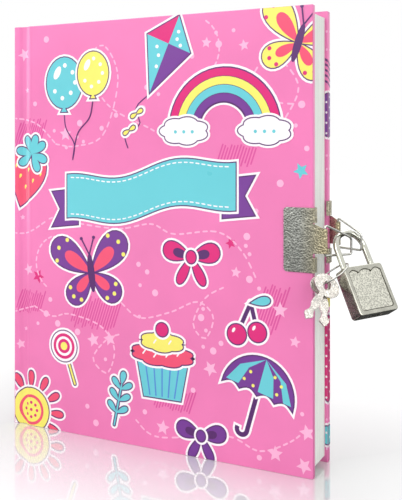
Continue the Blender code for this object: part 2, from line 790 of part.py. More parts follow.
def bow_points(half_width, half_height):
    """The bow's round as (x, z), open below where the shank leaves it."""
    open_deg = math.degrees(math.asin(KEY_NECK / KEY_BOW_WIDTH))
    angles = [-90 + open_deg + (360 - 2 * open_deg) * i / BOW_STEPS for i in range(BOW_STEPS + 1)]
    turns = [math.radians(angle) for angle in angles]
    return [(half_width * math.cos(turn), half_height * math.sin(turn)) for turn in turns]


def shank_points():
    """The shank as (x, z) from the bow's right side round its arrow-shaped end and back."""
    half = KEY_SHANK_WIDTH / 2
    reach = KEY_LENGTH - KEY_BOW_HEIGHT / 2
    steps = [(0.57, 0.31), (0.92, 0.42), (0.92, 0.58), (0.55, 0.67), (0.55, 0.74), (1.0, 0.84), (0.95, 0.89)]
    left = [(-half * across, -reach * along) for across, along in steps]
    right = [(-x, z) for x, z in reversed(left)]
    return left + [(0.0, -reach)] + right


def key_place(lock, hang):
    """Where a key hangs on the ring; its local Z runs up the key and -Y out of its face."""
    ring_turn, face_turn, face_lift, lean_turn, bearing = (math.radians(angle) for angle in hang)
    across, out = view_axes()
    centre, normal, lowest = ring_frame(lock)
    side = normal.cross(lowest)
    wire_place = centre + (lowest * math.cos(ring_turn) + side * math.sin(ring_turn)) * RING_RADIUS
    level_face = out * math.cos(face_turn) + across * math.sin(face_turn)
    face = level_face * math.cos(face_lift) - DOWN * math.sin(face_lift)
    down = flatten(DOWN, face)
    basis = Matrix((down.cross(face), -face, -down)).transposed().to_4x4()
    lean = Matrix.Rotation(lean_turn, 4, face)
    reach = KEY_HOLE_RADIUS - RING_WIRE / 2 - KEY_GAP
    shift = Matrix.Translation((reach * math.sin(bearing), 0.0, -reach * math.cos(bearing)))
    return Matrix.Translation(wire_place) @ lean @ basis @ shift


def key_blank():
    """A flat key: a ring of faces round its hole, closed below by the shank."""
    shape = bmesh.new()

    def lay(points):
        return [shape.verts.new((x, -KEY_SHEET / 2, z)) for x, z in points]

    bow = lay(bow_points(KEY_BOW_WIDTH / 2, KEY_BOW_HEIGHT / 2))
    hole = lay(bow_points(KEY_HOLE_RADIUS, KEY_HOLE_RADIUS))
    tail = lay(shank_points())
    for i in range(BOW_STEPS):
        shape.faces.new((bow[i], bow[i + 1], hole[i + 1], hole[i]))
    shape.faces.new([bow[-1], *tail, bow[0], hole[0], hole[-1]])
    grown = bmesh.ops.extrude_face_region(shape, geom=list(shape.faces))
    moved = [part for part in grown["geom"] if isinstance(part, bmesh.types.BMVert)]
    bmesh.ops.translate(shape, verts=moved, vec=(0, KEY_SHEET, 0))
    return shape


def key(name, place, material):
    """A stamped key with an oval bow and a hole for the ring."""
    item = from_bmesh(name, key_blank(), material, smooth_deg=30)
    return attach(item, hinge_empty(f"{name}_swing", place), in_place=False)


def main():
    clear_scene()
    board = finish("grey_board", (0.42, 0.40, 0.37), 0.9)
    printed = finish("printed_wrap", (0.87, 0.21, 0.50), 0.35)
    endpaper = finish("end_paper", (0.93, 0.93, 0.90), 0.8)
    paper = finish("ruled_paper", (0.90, 0.92, 0.88), 0.85)
    mull = finish("spine_lining", (0.85, 0.82, 0.74), 0.9)
    hasp_steel = finish("stippled_steel", (0.62, 0.62, 0.58), 0.4, 1.0)
    bail_steel = finish("bail_wire", (0.75, 0.75, 0.73), 0.3, 1.0)
    lock_steel = finish("lock_case", (0.70, 0.69, 0.64), 0.35, 1.0)
    polished = finish("polished_steel", (0.80, 0.80, 0.80), 0.12, 1.0)
    key_steel = finish("key_metal", (0.80, 0.78, 0.74), 0.45, 1.0)

    for side, label, hasp_z in (
        (-1, "front", HASP_CENTRE),
        (1, "back", HASP_CENTRE + BACK_HASP_RAISE),
    ):
        hinge = Matrix.Translation((HINGE_X, side_y(side, -HINGE_OUTSIDE), 0.0))
        empty = hinge_empty(f"{label}_cover_hinge", hinge)
        attach(cover_wrap(side, f"{label}_cover_wrap", printed), empty)
        attach(cover_board(side, f"{label}_cover_board", board), empty)
        attach(pastedown(side, f"{label}_pastedown", endpaper), empty)
        attach(hasp(side, f"{label}_hasp", hasp_z, hasp_steel), empty)
    spine_wrap("spine_wrap", printed)
    spine_board("spine_board", board)
    spine_lining("spine_lining", mull)
    signatures(paper)
    leaf_stubs(-1, "front_leaf_stubs", FRONT_LEAVES, paper)
    leaf_stubs(1, "back_leaf_stub", 1, paper)
    leaf(-1, "front_flyleaf", 0, endpaper)
    for place in range(1, FRONT_LEAVES):
        leaf(-1, f"leaf_{place}", place, paper)
    leaf(1, "back_flyleaf", 0, endpaper)

    bail(-1, "front_bail", HASP_CENTRE, FRONT_BAIL_DEG, bail_steel)
    bail(1, "back_bail", HASP_CENTRE + BACK_HASP_RAISE, BACK_BAIL_DEG, bail_steel)

    lock = lock_matrix()
    lock_empty = hinge_empty("padlock_place", lock)
    shackle(polished, lock_empty)
    front_shell(lock_steel, lock_empty)
    back_plate(lock_steel, lock_empty)
    latch(key_steel, lock_empty)
    latch_spring(key_steel, lock_empty)
    key_ring(lock, bail_steel)
    key("key_1", key_place(lock, KEY_1_HANG), key_steel)
    key("key_2", key_place(lock, KEY_2_HANG), key_steel)


main()
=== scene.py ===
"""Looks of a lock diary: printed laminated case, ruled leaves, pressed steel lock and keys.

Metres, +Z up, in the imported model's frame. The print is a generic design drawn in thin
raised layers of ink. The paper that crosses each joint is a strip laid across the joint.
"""

from __future__ import annotations

import logging
import math
import random
from dataclasses import dataclass, field
from enum import Enum
from typing import Callable

import bmesh
import bpy
from mathutils import Matrix, Vector

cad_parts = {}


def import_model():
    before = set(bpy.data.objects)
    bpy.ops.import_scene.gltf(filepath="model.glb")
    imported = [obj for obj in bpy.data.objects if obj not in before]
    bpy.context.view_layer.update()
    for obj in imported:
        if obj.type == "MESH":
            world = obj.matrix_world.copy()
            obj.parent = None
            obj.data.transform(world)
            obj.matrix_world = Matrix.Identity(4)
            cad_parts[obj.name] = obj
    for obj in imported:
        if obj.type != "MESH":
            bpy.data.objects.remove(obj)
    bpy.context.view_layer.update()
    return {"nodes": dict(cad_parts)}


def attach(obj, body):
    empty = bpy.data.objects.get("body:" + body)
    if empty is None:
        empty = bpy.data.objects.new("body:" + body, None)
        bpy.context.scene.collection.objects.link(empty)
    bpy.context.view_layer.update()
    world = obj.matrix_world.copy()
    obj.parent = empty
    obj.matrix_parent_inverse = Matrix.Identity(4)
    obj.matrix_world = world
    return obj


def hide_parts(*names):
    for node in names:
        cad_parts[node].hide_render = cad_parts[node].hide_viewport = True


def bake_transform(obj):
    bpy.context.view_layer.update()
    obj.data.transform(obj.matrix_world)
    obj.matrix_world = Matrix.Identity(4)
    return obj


LOG = logging.getLogger("lock_diary")
MM = 0.001
Point = tuple[float, float]
Outline = list[Point]
Colour = tuple[float, float, float]
Socket = bpy.types.NodeSocket


def srgb(red: int, green: int, blue: int) -> Colour:
    """Turn a colour as seen, in 0 to 255, into a scene colour.

    Args:
        red: Red as seen.
        green: Green as seen.
        blue: Blue as seen.

    Returns:
        The colour in linear light.
    """
    seen = [channel / 255 for channel in (red, green, blue)]
    linear = [c / 12.92 if c <= 0.04045 else ((c + 0.055) / 1.055) ** 2.4 for c in seen]
    return (linear[0], linear[1], linear[2])


def darker(colour: Colour, share: float) -> Colour:
    """A colour multiplied by a share."""
    return (colour[0] * share, colour[1] * share, colour[2] * share)


@dataclass(frozen=True)
class Book:
    """The case's sizes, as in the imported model."""

    height: float = 200.0 * MM
    width: float = 158.5 * MM
    thickness: float = 23.5 * MM
    cover: float = 2.8 * MM
    lined: float = 3.05 * MM
    joint_shoulder: float = 2.6 * MM
    joint_slope: float = 3.0 * MM
    joint_width: float = 10.0 * MM
    joint_hinge: float = 6.5 * MM
    joint_depth: float = 0.95 * MM
    bend_before: float = 1.9 * MM
    bend_after: float = 1.6 * MM

    @property
    def spine_x(self) -> float:
        """The spine's outer face."""
        return -self.width / 2

    @property
    def fore_x(self) -> float:
        """The covers' fore-edge."""
        return self.width / 2

    @property
    def middle_y(self) -> float:
        """The middle of the book's thickness."""
        return self.cover / 2 - self.thickness / 2

    @property
    def hinge_x(self) -> float:
        """The line that each cover turns about."""
        return self.spine_x + self.joint_hinge

    def groove_depth(self, x: float) -> float:
        """Find how far the joint's paper sinks below the cover's face.

        Args:
            x: The place across the joint.

        Returns:
            The depth there.
        """
        shoulder, board = self.spine_x + self.joint_shoulder, self.spine_x + self.joint_width
        sunk = min(max(min(x - shoulder, board - x) / self.joint_slope, 0.0), 1.0)
        return self.joint_depth * (1 - math.cos(math.pi * sunk)) / 2

    def side_y(self, side: int, depth: float) -> float:
        """The y at a depth inside the front cover's face (-1) or the back cover's (1)."""
        return self.middle_y + side * (self.thickness / 2 - depth)

    def joint_ends(self, side: int) -> tuple[Point, Point]:
        """Where the outer paper's bend starts and ends on one side, as (x, y)."""
        y = self.side_y(side, self.joint_depth)
        return (self.hinge_x - self.bend_before, y), (self.hinge_x + self.bend_after, y)


@dataclass(frozen=True)
class LockPlace:
    """Where the padlock hangs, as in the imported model."""

    from_fore_edge: float = 12.88 * MM
    from_middle: float = -0.07 * MM
    arc_height: float = 96.79 * MM
    turn_deg: float = 52.5
    lean_deg: float = 3.4
    swing_deg: float = 30.0
    panel_y: float = -3.0 * MM

    def matrix(self, book: Book) -> Matrix:
        """Build the padlock's own axes.

        Args:
            book: The case that it hangs on.

        Returns:
            Local X across its face, Z up its legs and -Y out of its face.
        """
        place = (book.fore_x + self.from_fore_edge, book.middle_y + self.from_middle, self.arc_height)
        axes = Matrix.Translation(place)
        for degrees, axis in ((self.turn_deg, "Z"), (-self.swing_deg, "X"), (-self.lean_deg, "Y")):
            axes = axes @ Matrix.Rotation(math.radians(degrees), 4, axis)
        return axes


class Graph:
    """A node tree built one node at a time, and the coordinates that its nodes read."""

    def __init__(self, tree: bpy.types.NodeTree, coordinates: str) -> None:
        """Start on a tree with the named texture coordinates."""
        self.tree = tree
        self.place = self.add("TexCoord").outputs[coordinates]

    def feed(self, node: bpy.types.Node, inputs: dict) -> None:
        """Fill a node's inputs.

        Args:
            node: The node.
            inputs: A socket or a value for each input, by its name or number.
        """
        for key, value in inputs.items():
            if isinstance(value, Socket):
                self.tree.links.new(value, node.inputs[key])
            else:
                node.inputs[key].default_value = value

    def add(self, kind: str, inputs: dict | None = None, **settings: object) -> bpy.types.Node:
        """Add a shader node.

        Args:
            kind: The node's kind.
            inputs: A socket or a value for each input, by its name or number.
            **settings: Its properties by name.

        Returns:
            The node.
        """
        node = self.tree.nodes.new(f"ShaderNode{kind}")
        for key, value in settings.items():
            setattr(node, key, value)
        self.feed(node, inputs or {})
        return node

    def maths(self, operation: str, *values: object) -> Socket:
        """Work out one number from up to three numbers or sockets."""
        return self.add("Math", dict(enumerate(values)), operation=operation).outputs[0]

    def minus(self, first: object, second: object) -> Socket:
        """Take the second number or socket from the first."""
        return self.maths("SUBTRACT", first, second)

    def times(self, first: object, second: object) -> Socket:
        """Multiply two numbers or sockets."""
        return self.maths("MULTIPLY", first, second)

    def noise(self, size: float, detail: float = 3.0, place: Socket | None = None) -> Socket:
        """Clouds of one width in metres, with finer layers, from 0 to 1."""
        inputs = {"Vector": place or self.place, "Scale": 1 / size, "Detail": detail}
        return self.add("TexNoise", inputs).outputs["Fac"]

    def grains(self, size: float, place: Socket | None = None) -> Socket:
        """Rounded grains of one width in metres, as the distance from each one's middle."""
        inputs = {"Vector": place or self.place, "Scale": 1 / size}
        return self.add("TexVoronoi", inputs, feature="F1").outputs["Distance"]

    def stretched(self, *scale: float) -> Socket:
        """The coordinates multiplied along each axis."""
        return self.add("Mapping", {"Vector": self.place, "Scale": scale}).outputs["Vector"]

    def axes(self, place: Socket | None = None) -> list[Socket]:
        """The three coordinates by themselves."""
        return list(self.add("SeparateXYZ", {0: place or self.place}).outputs)

    def spread(self, value: Socket, low: float, high: float, start: float = 0.0, end: float = 1.0) -> Socket:
        """Spread a number that runs from start to end over the range from low to high."""
        ends = {"From Min": start, "From Max": end, "To Min": low, "To Max": high}
        return self.add("MapRange", {"Value": value, **ends}).outputs["Result"]

    def eased(self, value: Socket, low: float, high: float, start: float, end: float) -> Socket:
        """Spread a number as above, but slowly at both ends."""
        ends = {"From Min": start, "From Max": end, "To Min": low, "To Max": high}
        return self.add("MapRange", {"Value": value, **ends}, interpolation_type="SMOOTHSTEP").outputs[0]

    def ramp(self, factor: Socket, stops: Point, dark: Colour, light: Colour) -> Socket:
        """Turn a number into a colour.

        Args:
            factor: The number.
            stops: The numbers at which the two colours are reached.
            dark: The first colour.
            light: The second colour.

        Returns:
            The colour's socket.
        """
        node = self.add("ValToRGB", {"Fac": factor})
        for element, stop, colour in zip(node.color_ramp.elements, stops, (dark, light)):
            element.position = stop
            element.color = (*colour, 1.0)
        return node.outputs["Color"]

    def blend(self, factor: object, first: object, second: object) -> Socket:
        """Mix two colours, or sockets, by a share of the second."""
        pair = [value if isinstance(value, Socket) else (*value, 1.0) for value in (first, second)]
        return self.add("Mix", {0: factor, 6: pair[0], 7: pair[1]}, data_type="RGBA").outputs[2]

    def mix(self, factor: object, first: Socket, second: Socket) -> Socket:
        """Mix two shaders by a share of the second."""
        return self.add("MixShader", {0: factor, 1: first, 2: second}).outputs[0]


class Surface(Graph):
    """A material's nodes, joined to its Principled shader."""

    def __init__(self, name: str) -> None:
        """Start a material.

        Args:
            name: The material's name.
        """
        self.material = bpy.data.materials.new(name)
        self.material.use_nodes = True
        super().__init__(self.material.node_tree, "Object")
        self.shader = self.tree.nodes["Principled BSDF"]

    def finish(self, **values: object) -> bpy.types.Material:
        """Fill the shader's inputs, with underscores for spaces in their names."""
        self.feed(self.shader, {key.replace("_", " "): value for key, value in values.items()})
        return self.material

    def bump(self, height: Socket, strength: float, distance: float) -> None:
        """Raise the surface by a height map."""
        node = self.add("Bump", {"Height": height, "Strength": strength, "Distance": distance})
        self.finish(Normal=node.outputs["Normal"])


@dataclass(frozen=True)
class Laminate:
    """Printed paper under a gloss film, with the film's faint unevenness."""

    name: str
    colour: Colour
    spread: float = 0.06

    def make(self) -> bpy.types.Material:
        """Build the material.

        Returns:
            The material.
        """
        graph = Surface(self.name)
        low, high = darker(self.colour, 1 - self.spread), darker(self.colour, 1 + self.spread / 2)
        graph.bump(graph.noise(0.9 * MM), 0.05, 0.05 * MM)
        return graph.finish(
            Base_Color=graph.ramp(graph.noise(35 * MM, 4.0), (0.3, 0.7), low, high),
            Roughness=graph.spread(graph.noise(9 * MM, 5.0), 0.24, 0.38),
            Specular_IOR_Level=0.45,
            Coat_Weight=0.25,
            Coat_Roughness=0.12,
        )


@dataclass(frozen=True)
class PageStack:
    """Paper: ruled lines on its faces and the edges of the sheets on its sides."""

    name: str
    colour: Colour = srgb(247, 250, 244)
    rule: Colour = srgb(150, 118, 140)
    rule_pitch: float = 8.0 * MM
    rule_width: float = 0.28 * MM
    foot: float = 17.0 * MM
    head: float = 183.0 * MM
    sheet: float = 0.1 * MM
    ruled: bool = True

    def make(self) -> bpy.types.Material:
        """Build the material.

        Returns:
            The material.
        """
        graph = Surface(self.name)
        fibres = graph.noise(0.5 * MM, 5.0, graph.stretched(1.0, 1.0, 0.35))
        paper = graph.ramp(fibres, (0.25, 0.75), darker(self.colour, 0.95), self.colour)
        normal = graph.axes(graph.add("TexCoord").outputs["Normal"])[1]
        facing = graph.maths("GREATER_THAN", graph.maths("ABSOLUTE", normal), 0.7)
        edge = graph.minus(1.0, facing)
        if self.ruled:
            z = graph.axes()[2]
            row = graph.maths("MODULO", graph.minus(z, self.foot), self.rule_pitch)
            line = graph.maths("LESS_THAN", row, self.rule_width)
            above, below = graph.maths("GREATER_THAN", z, self.foot), graph.maths("LESS_THAN", z, self.head)
            line = graph.times(graph.times(line, graph.times(above, below)), facing)
            paper = graph.blend(line, paper, self.rule)
        streak = graph.noise(self.sheet, 2.0, graph.stretched(0.02, 1.0, 0.004))
        seams = graph.ramp(streak, (0.35, 0.62), darker(self.colour, 0.62), self.colour)
        colour = graph.blend(graph.times(edge, 0.6), paper, seams)
        graph.bump(graph.maths("ADD", fibres, graph.times(streak, edge)), 0.25, 0.05 * MM)
        return graph.finish(Base_Color=colour, Roughness=0.88, Specular_IOR_Level=0.25)


@dataclass(frozen=True)
class GreyBoard:
    """Pressed grey board with flecks."""

    name: str
    colour: Colour = srgb(150, 146, 138)

    def make(self) -> bpy.types.Material:
        """Build the material.

        Returns:
            The material.
        """
        graph = Surface(self.name)
        flecks = graph.noise(0.7 * MM, 6.0)
        graph.bump(flecks, 0.4, 0.1 * MM)
        grey = graph.ramp(flecks, (0.3, 0.7), darker(self.colour, 0.7), self.colour)
        return graph.finish(Base_Color=grey, Roughness=0.95)


@dataclass(frozen=True)
class LiningCloth:
    """Open woven cloth glued over the sections' backs."""

    name: str
    colour: Colour = srgb(232, 226, 208)
    thread: float = 0.6 * MM

    def make(self) -> bpy.types.Material:
        """Build the material.

        Returns:
            The material.
        """
        graph = Surface(self.name)
        turns = 2 * math.pi / self.thread
        warp, weft = (graph.maths("SINE", graph.times(axis, turns)) for axis in graph.axes()[1:])
        weave = graph.maths("MULTIPLY_ADD", graph.times(warp, weft), 0.5, 0.5)
        graph.bump(weave, 0.5, 0.1 * MM)
        cloth = graph.ramp(weave, (0.2, 0.8), darker(self.colour, 0.7), self.colour)
        return graph.finish(Base_Color=cloth, Roughness=0.9)


@dataclass(frozen=True)
class StippledSteel:
    """Plated sheet steel with a fine pressed grain, and painted warm light towards one end where a bent
    tongue catches the light.
    """

    name: str
    colour: Colour = srgb(212, 213, 205)
    painted_warm_light: Colour = srgb(204, 193, 158)
    grain: float = 0.75 * MM
    painted_warm_light_from: float = 0.0
    painted_warm_light_to: float = 0.0

    def make(self) -> bpy.types.Material:
        """Build the material.

        Returns:
            The material.
        """
        graph = Surface(self.name)
        grain = graph.grains(self.grain)
        plain = graph.ramp(graph.noise(2.4 * MM), (0.3, 0.7), darker(self.colour, 0.72), self.colour)
        # Painted light: a warm tint that grows towards one end, standing for how the hasp's bent tongue
        # catches the light.
        if self.painted_warm_light_to > self.painted_warm_light_from:
            share = graph.spread(graph.axes()[0], 0.0, 1.0, self.painted_warm_light_from, self.painted_warm_light_to)
            plain = graph.blend(share, plain, self.painted_warm_light)
        pits = graph.maths("MULTIPLY_ADD", grain, 1.05, 0.36)
        shade = graph.add("VectorMath", operation="SCALE")
        graph.feed(shade, {0: plain, "Scale": pits})
        gloss = graph.spread(graph.noise(0.8 * MM, 4.0), 0.26, 0.5)
        graph.bump(grain, 0.75, 0.16 * MM)
        return graph.finish(Base_Color=shade.outputs[0], Roughness=gloss, Metallic=1.0)


@dataclass(frozen=True)
class PlatedWire:
    """Drawn and plated metal: fine scratches and small changes of gloss."""

    name: str
    colour: Colour
    low: float
    high: float
    scratch: float = 0.15

    def make(self) -> bpy.types.Material:
        """Build the material.

        Returns:
            The material.
        """
        graph = Surface(self.name)
        patches = graph.noise(3.0 * MM, 4.0)
        plating = graph.ramp(patches, (0.3, 0.7), darker(self.colour, 0.84), self.colour)
        lines = graph.noise(0.25 * MM, 3.0, graph.stretched(1.0, 1.0, 0.2))
        if self.scratch:
            graph.bump(lines, self.scratch, 0.03 * MM)
        gloss = graph.spread(lines, self.low, self.high)
        return graph.finish(Base_Color=plating, Roughness=gloss, Metallic=1.0)


@dataclass(frozen=True)
class LockPlate:
    """The padlock case: smooth plated edges and a stippled sunk panel."""

    name: str
    place: Matrix
    panel_y: float
    colour: Colour = srgb(203, 202, 190)
    grain: float = 0.7 * MM
    panel_slack: float = 0.06 * MM

    def make(self) -> bpy.types.Material:
        """Build the material.

        Returns:
            The material.
        """
        graph = Surface(self.name)
        axes = {"Location": self.place.translation, "Rotation": self.place.to_euler("XYZ")}
        own = graph.add("Mapping", vector_type="TEXTURE")
        graph.feed(own, {"Vector": graph.place, **axes})
        own = own.outputs["Vector"]
        off = graph.maths("ABSOLUTE", graph.minus(graph.axes(own)[1], self.panel_y))
        panel = graph.maths("LESS_THAN", off, self.panel_slack)
        dark, light, pit, peak = (darker(self.colour, share) for share in (0.7, 0.95, 0.42, 1.12))
        smooth = graph.ramp(graph.noise(4 * MM, 4.0, own), (0.3, 0.7), dark, light)
        grain = graph.grains(self.grain, own)
        colour = graph.blend(panel, smooth, graph.ramp(grain, (0.08, 0.7), pit, peak))
        fine = graph.spread(graph.noise(0.6 * MM, 3.0, own), 0.18, 0.34)
        gloss = graph.maths("MULTIPLY_ADD", panel, 0.16, fine)
        graph.bump(graph.times(grain, panel), 0.7, 0.16 * MM)
        return graph.finish(Base_Color=colour, Roughness=gloss, Metallic=1.0)


class Ink(Enum):
    """The colours of the print."""

    WHITE = srgb(252, 246, 250)
    PALE = srgb(250, 183, 217)
    PLUM = srgb(92, 48, 110)
    PURPLE = srgb(120, 62, 150)
    TURQUOISE = srgb(106, 204, 214)
    BLUE = srgb(86, 140, 214)
    YELLOW = srgb(245, 236, 112)
    MAGENTA = srgb(222, 44, 124)
    CORAL = srgb(240, 84, 118)
    DEEP = srgb(222, 86, 158)


INKS = list(Ink)
PINK = srgb(237, 127, 183)


class Finishes:
    """Every finish of the object, made once."""

    def __init__(self, book: Book, lock: LockPlace) -> None:
        """Make the finishes.

        Args:
            book: The case's sizes.
            lock: Where the padlock hangs.
        """
        # Painted light: the hasps' plates turn warmer near the fore-edge, where their tongues bend.
        painted_warm_light = {"painted_warm_light_from": book.fore_x - 6 * MM, "painted_warm_light_to": book.fore_x + 4 * MM}
        self.ground = Laminate("pink_laminate", PINK).make()
        self.inks = [Laminate(f"{ink.name.lower()}_ink", ink.value, 0.03).make() for ink in INKS]
        self.ruled = PageStack("ruled_paper").make()
        self.plain = PageStack("end_paper", colour=srgb(244, 243, 238), ruled=False).make()
        self.board = GreyBoard("grey_board").make()
        self.lining = LiningCloth("lining_cloth").make()
        self.hasp = StippledSteel("stippled_steel", **painted_warm_light).make()
        self.bail = PlatedWire("plated_wire", srgb(214, 214, 208), 0.22, 0.4).make()
        self.shackle = PlatedWire("polished_steel", srgb(214, 214, 202), 0.04, 0.1, 0.0).make()
        self.case = LockPlate("lock_plate", lock.matrix(book), lock.panel_y).make()
        # Painted shade: dark steel for the ring laid in the corner of the padlock's sunk panel.
        self.seam = PlatedWire("painted_panel_shade", srgb(74, 72, 62), 0.35, 0.6).make()
        self.key = StippledSteel("key_steel", colour=srgb(228, 223, 215), grain=0.45 * MM).make()


def deselect() -> None:
    """Leave nothing selected."""
    bpy.ops.object.select_all(action="DESELECT")


def start(name: str, primitive: Callable, **settings: object) -> bpy.types.Object:
    """Add one object alone in the selection.

    Args:
        name: Its name.
        primitive: The operator that adds it.
        **settings: The operator's settings.

    Returns:
        The object.
    """
    deselect()
    primitive(**settings)
    item = bpy.context.object
    item.name = item.data.name = name
    return item


def edit_all() -> None:
    """Go into edit mode with everything selected."""
    bpy.ops.object.mode_set(mode="EDIT")
    bpy.ops.mesh.select_all(action="SELECT")


def modify(item: bpy.types.Object, kind: str, **settings: object) -> None:
    """Add a modifier to the active object and apply it.

    Args:
        item: The active object.
        kind: The modifier's kind.
        **settings: Its properties by name.
    """
    modifier = item.modifiers.new(kind.lower(), kind)
    for key, value in settings.items():
        setattr(modifier, key, value)
    bpy.ops.object.modifier_apply(modifier=modifier.name)


def dress(node: bpy.types.Object, material: bpy.types.Material) -> None:
    """Give an object one material.

    Args:
        node: The object.
        material: Its finish.
    """
    if not node.material_slots:
        node.data.materials.append(material)
    for slot in node.material_slots:
        slot.material = material


def settle(piece: bpy.types.Object, body: str, slot: str, *nodes: str) -> None:
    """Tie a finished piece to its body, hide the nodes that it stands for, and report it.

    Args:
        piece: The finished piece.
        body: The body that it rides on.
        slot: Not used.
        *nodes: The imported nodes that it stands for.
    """
    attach(piece, body)
    if nodes:
        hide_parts(*nodes)
    LOG.info("%s rides on %s", piece.name, body)


def bend(piece: bpy.types.Object, side: int, cover: str, near: Point, far: Point, slot: str) -> None:
    """Bake the place of a piece that lies between the text block and one cover.

    Its two ends are put in the order that its two bodies are named, so the back names the
    cover first; nothing more is done with them.

    Args:
        piece: The finished piece.
        side: -1 for the front cover, 1 for the back.
        cover: The cover's body.
        near: Where it leaves the block, as (x, y).
        far: Where it reaches the cover, as (x, y).
        slot: Not used.
    """
    ends = [("text_block", (*near, 0.0)), (cover, (*far, 0.0))][:: -side]
    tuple(ends[0][1])
    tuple(ends[1][1])
    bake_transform(piece)
    LOG.info("%s bends between text_block and %s", piece.name, cover)


def polar(at: Point, reach: float, turn_deg: float) -> Point:
    """The place at a distance from another, in a direction."""
    turn = math.radians(turn_deg)
    return (at[0] + reach * math.cos(turn), at[1] + reach * math.sin(turn))


def placed(points: Outline, at: Point, turn_deg: float = 0.0, size: float = 1.0) -> Outline:
    """Turn, scale and move an outline that is drawn about its own middle.

    Args:
        points: The outline.
        at: Where its middle goes.
        turn_deg: Its turn.
        size: What it is multiplied by.

    Returns:
        The outline in its place.
    """
    across, up = size * math.cos(math.radians(turn_deg)), size * math.sin(math.radians(turn_deg))
    return [(at[0] + x * across - z * up, at[1] + x * up + z * across) for x, z in points]


def oval(at: Point, across: float, up: float, turn_deg: float = 0.0, count: int = 28) -> Outline:
    """An oval outline, in millimetres on the cover.

    Args:
        at: Its middle.
        across: Half its width.
        up: Half its height.
        turn_deg: Its turn.
        count: How many points it has.

    Returns:
        The outline.
    """
    angles = [2 * math.pi * index / count for index in range(count)]
    return placed([(across * math.cos(a), up * math.sin(a)) for a in angles], at, turn_deg)


def star(at: Point, radius: float, turn_deg: float = 90.0, tips: int = 5, waist: float = 0.46) -> Outline:
    """A star's outline.

    Args:
        at: Its middle.
        radius: The distance to a tip.
        turn_deg: The way its first tip points.
        tips: How many tips it has.
        waist: The inner corners' distance as a share of the radius.

    Returns:
        The outline.
    """
    reaches = (radius, radius * waist)
    return [polar(at, reaches[index % 2], turn_deg + 180 * index / tips) for index in range(2 * tips)]


def drop(at: Point, width: float, length: float, turn_deg: float) -> Outline:
    """A petal or wing: pointed at its root and round at its tip.

    Args:
        at: The root.
        width: Its greatest width.
        length: Its length.
        turn_deg: The way that it points.

    Returns:
        The outline.
    """
    angles = [2 * math.pi * index / 26 for index in range(26)]
    sides = [width / 2 * math.sin(a) * math.sin(a / 2) ** 1.1 for a in angles]
    points = [(length * (1 - math.cos(a)) / 2, side) for a, side in zip(angles, sides)]
    return placed(points, at, turn_deg)


def cloud(at: Point, across: float, up: float, lobes: int = 7) -> Outline:
    """A scalloped oval.

    Args:
        at: Its middle.
        across: Half its width between the lobes.
        up: Half its height between the lobes.
        lobes: How many lobes it has.

    Returns:
        The outline.
    """
    angles = [2 * math.pi * index / (8 * lobes) for index in range(8 * lobes)]
    puffs = [(a, 1 + 0.16 * abs(math.sin(lobes * a / 2))) for a in angles]
    return placed([(across * puff * math.cos(a), up * puff * math.sin(a)) for a, puff in puffs], at)


def band(at: Point, inner: float, outer: float, start_deg: float, end_deg: float) -> Outline:
    """A stretch of a ring.

    Args:
        at: The ring's middle.
        inner: Its inner radius.
        outer: Its outer radius.
        start_deg: Where it starts.
        end_deg: Where it ends.

    Returns:
        The outline.
    """
    angles = [start_deg + (end_deg - start_deg) * index / 24 for index in range(25)]
    return [polar(at, outer, a) for a in angles] + [polar(at, inner, a) for a in reversed(angles)]


def stroke(start: Point, end: Point, width: float) -> Outline:
    """A short straight line with round ends.

    Args:
        start: Where it starts.
        end: Where it ends.
        width: Its width.

    Returns:
        The outline.
    """
    heading = math.degrees(math.atan2(end[1] - start[1], end[0] - start[0]))
    caps = ((end, heading - 90), (start, heading + 90))
    return [polar(centre, width / 2, turn + 36 * index) for centre, turn in caps for index in range(6)]


def strokes(points: Outline, width: float) -> list[Outline]:
    """A line through points, as one stroke between each two."""
    return [stroke(start, end, width) for start, end in zip(points, points[1:])]


def grow(outline: Outline, by: float) -> Outline:
    """Move an outline outwards.

    Args:
        outline: The outline.
        by: How far, in millimetres.

    Returns:
        The larger outline.
    """
    after = outline[1:] + outline[:1]
    way = math.copysign(1.0, sum(a[0] * b[1] - b[0] * a[1] for a, b in zip(outline, after)))
    grown = []
    for last, here, following in zip(outline[-1:] + outline[:-1], outline, after):
        first = Vector((here[0] - last[0], here[1] - last[1])).normalized()
        second = Vector((following[0] - here[0], following[1] - here[1])).normalized()
        tangent = first + second
        if tangent.length < 1e-6:
            tangent = Vector((-first.y, first.x))
        tangent.normalize()
        reach = by / max(0.45, abs(tangent.dot(first)))
        grown.append((here[0] + way * tangent.y * reach, here[1] - way * tangent.x * reach))
    return grown


def trim(outline: Outline, limits: tuple[float, float, float, float]) -> Outline:
    """Cut an outline off at the sheet's edges.

    Args:
        outline: The outline.
        limits: The least and greatest of both coordinates.

    Returns:
        What is left of it.
    """
    for axis, limit, way in ((0, limits[0], 1), (1, limits[1], 1), (0, limits[2], -1), (1, limits[3], -1)):
        kept: Outline = []
        for here, after in zip(outline, outline[1:] + outline[:1]):
            inside, stays = ((p[axis] - limit) * way >= 0 for p in (here, after))
            if inside:
                kept.append(here)
            if inside != stays:
                share = (limit - here[axis]) / (after[axis] - here[axis])
                kept.append((here[0] + (after[0] - here[0]) * share, here[1] + (after[1] - here[1]) * share))
        outline = kept
    return outline


def spline_points(knots: Outline, step: float) -> Outline:
    """Points at even steps along a smooth curve through knots.

    Args:
        knots: The curve's knots.
        step: The distance between points.

    Returns:
        The points.
    """
    dense: Outline = []
    padded = [knots[0], *knots, knots[-1]]
    for near in zip(padded, padded[1:], padded[2:], padded[3:]):
        for t in [index / 24 for index in range(24)]:
            x, z = (
                0.5 * (2 * b + (c - a) * t + (2 * a - 5 * b + 4 * c - d) * t**2
                       + (3 * b - a - 3 * c + d) * t**3)
                for a, b, c, d in zip(*near)
            )
            dense.append((x, z))
    spaced = [dense[0]]
    for point in dense:
        if math.dist(point, spaced[-1]) >= step:
            spaced.append(point)
    return spaced


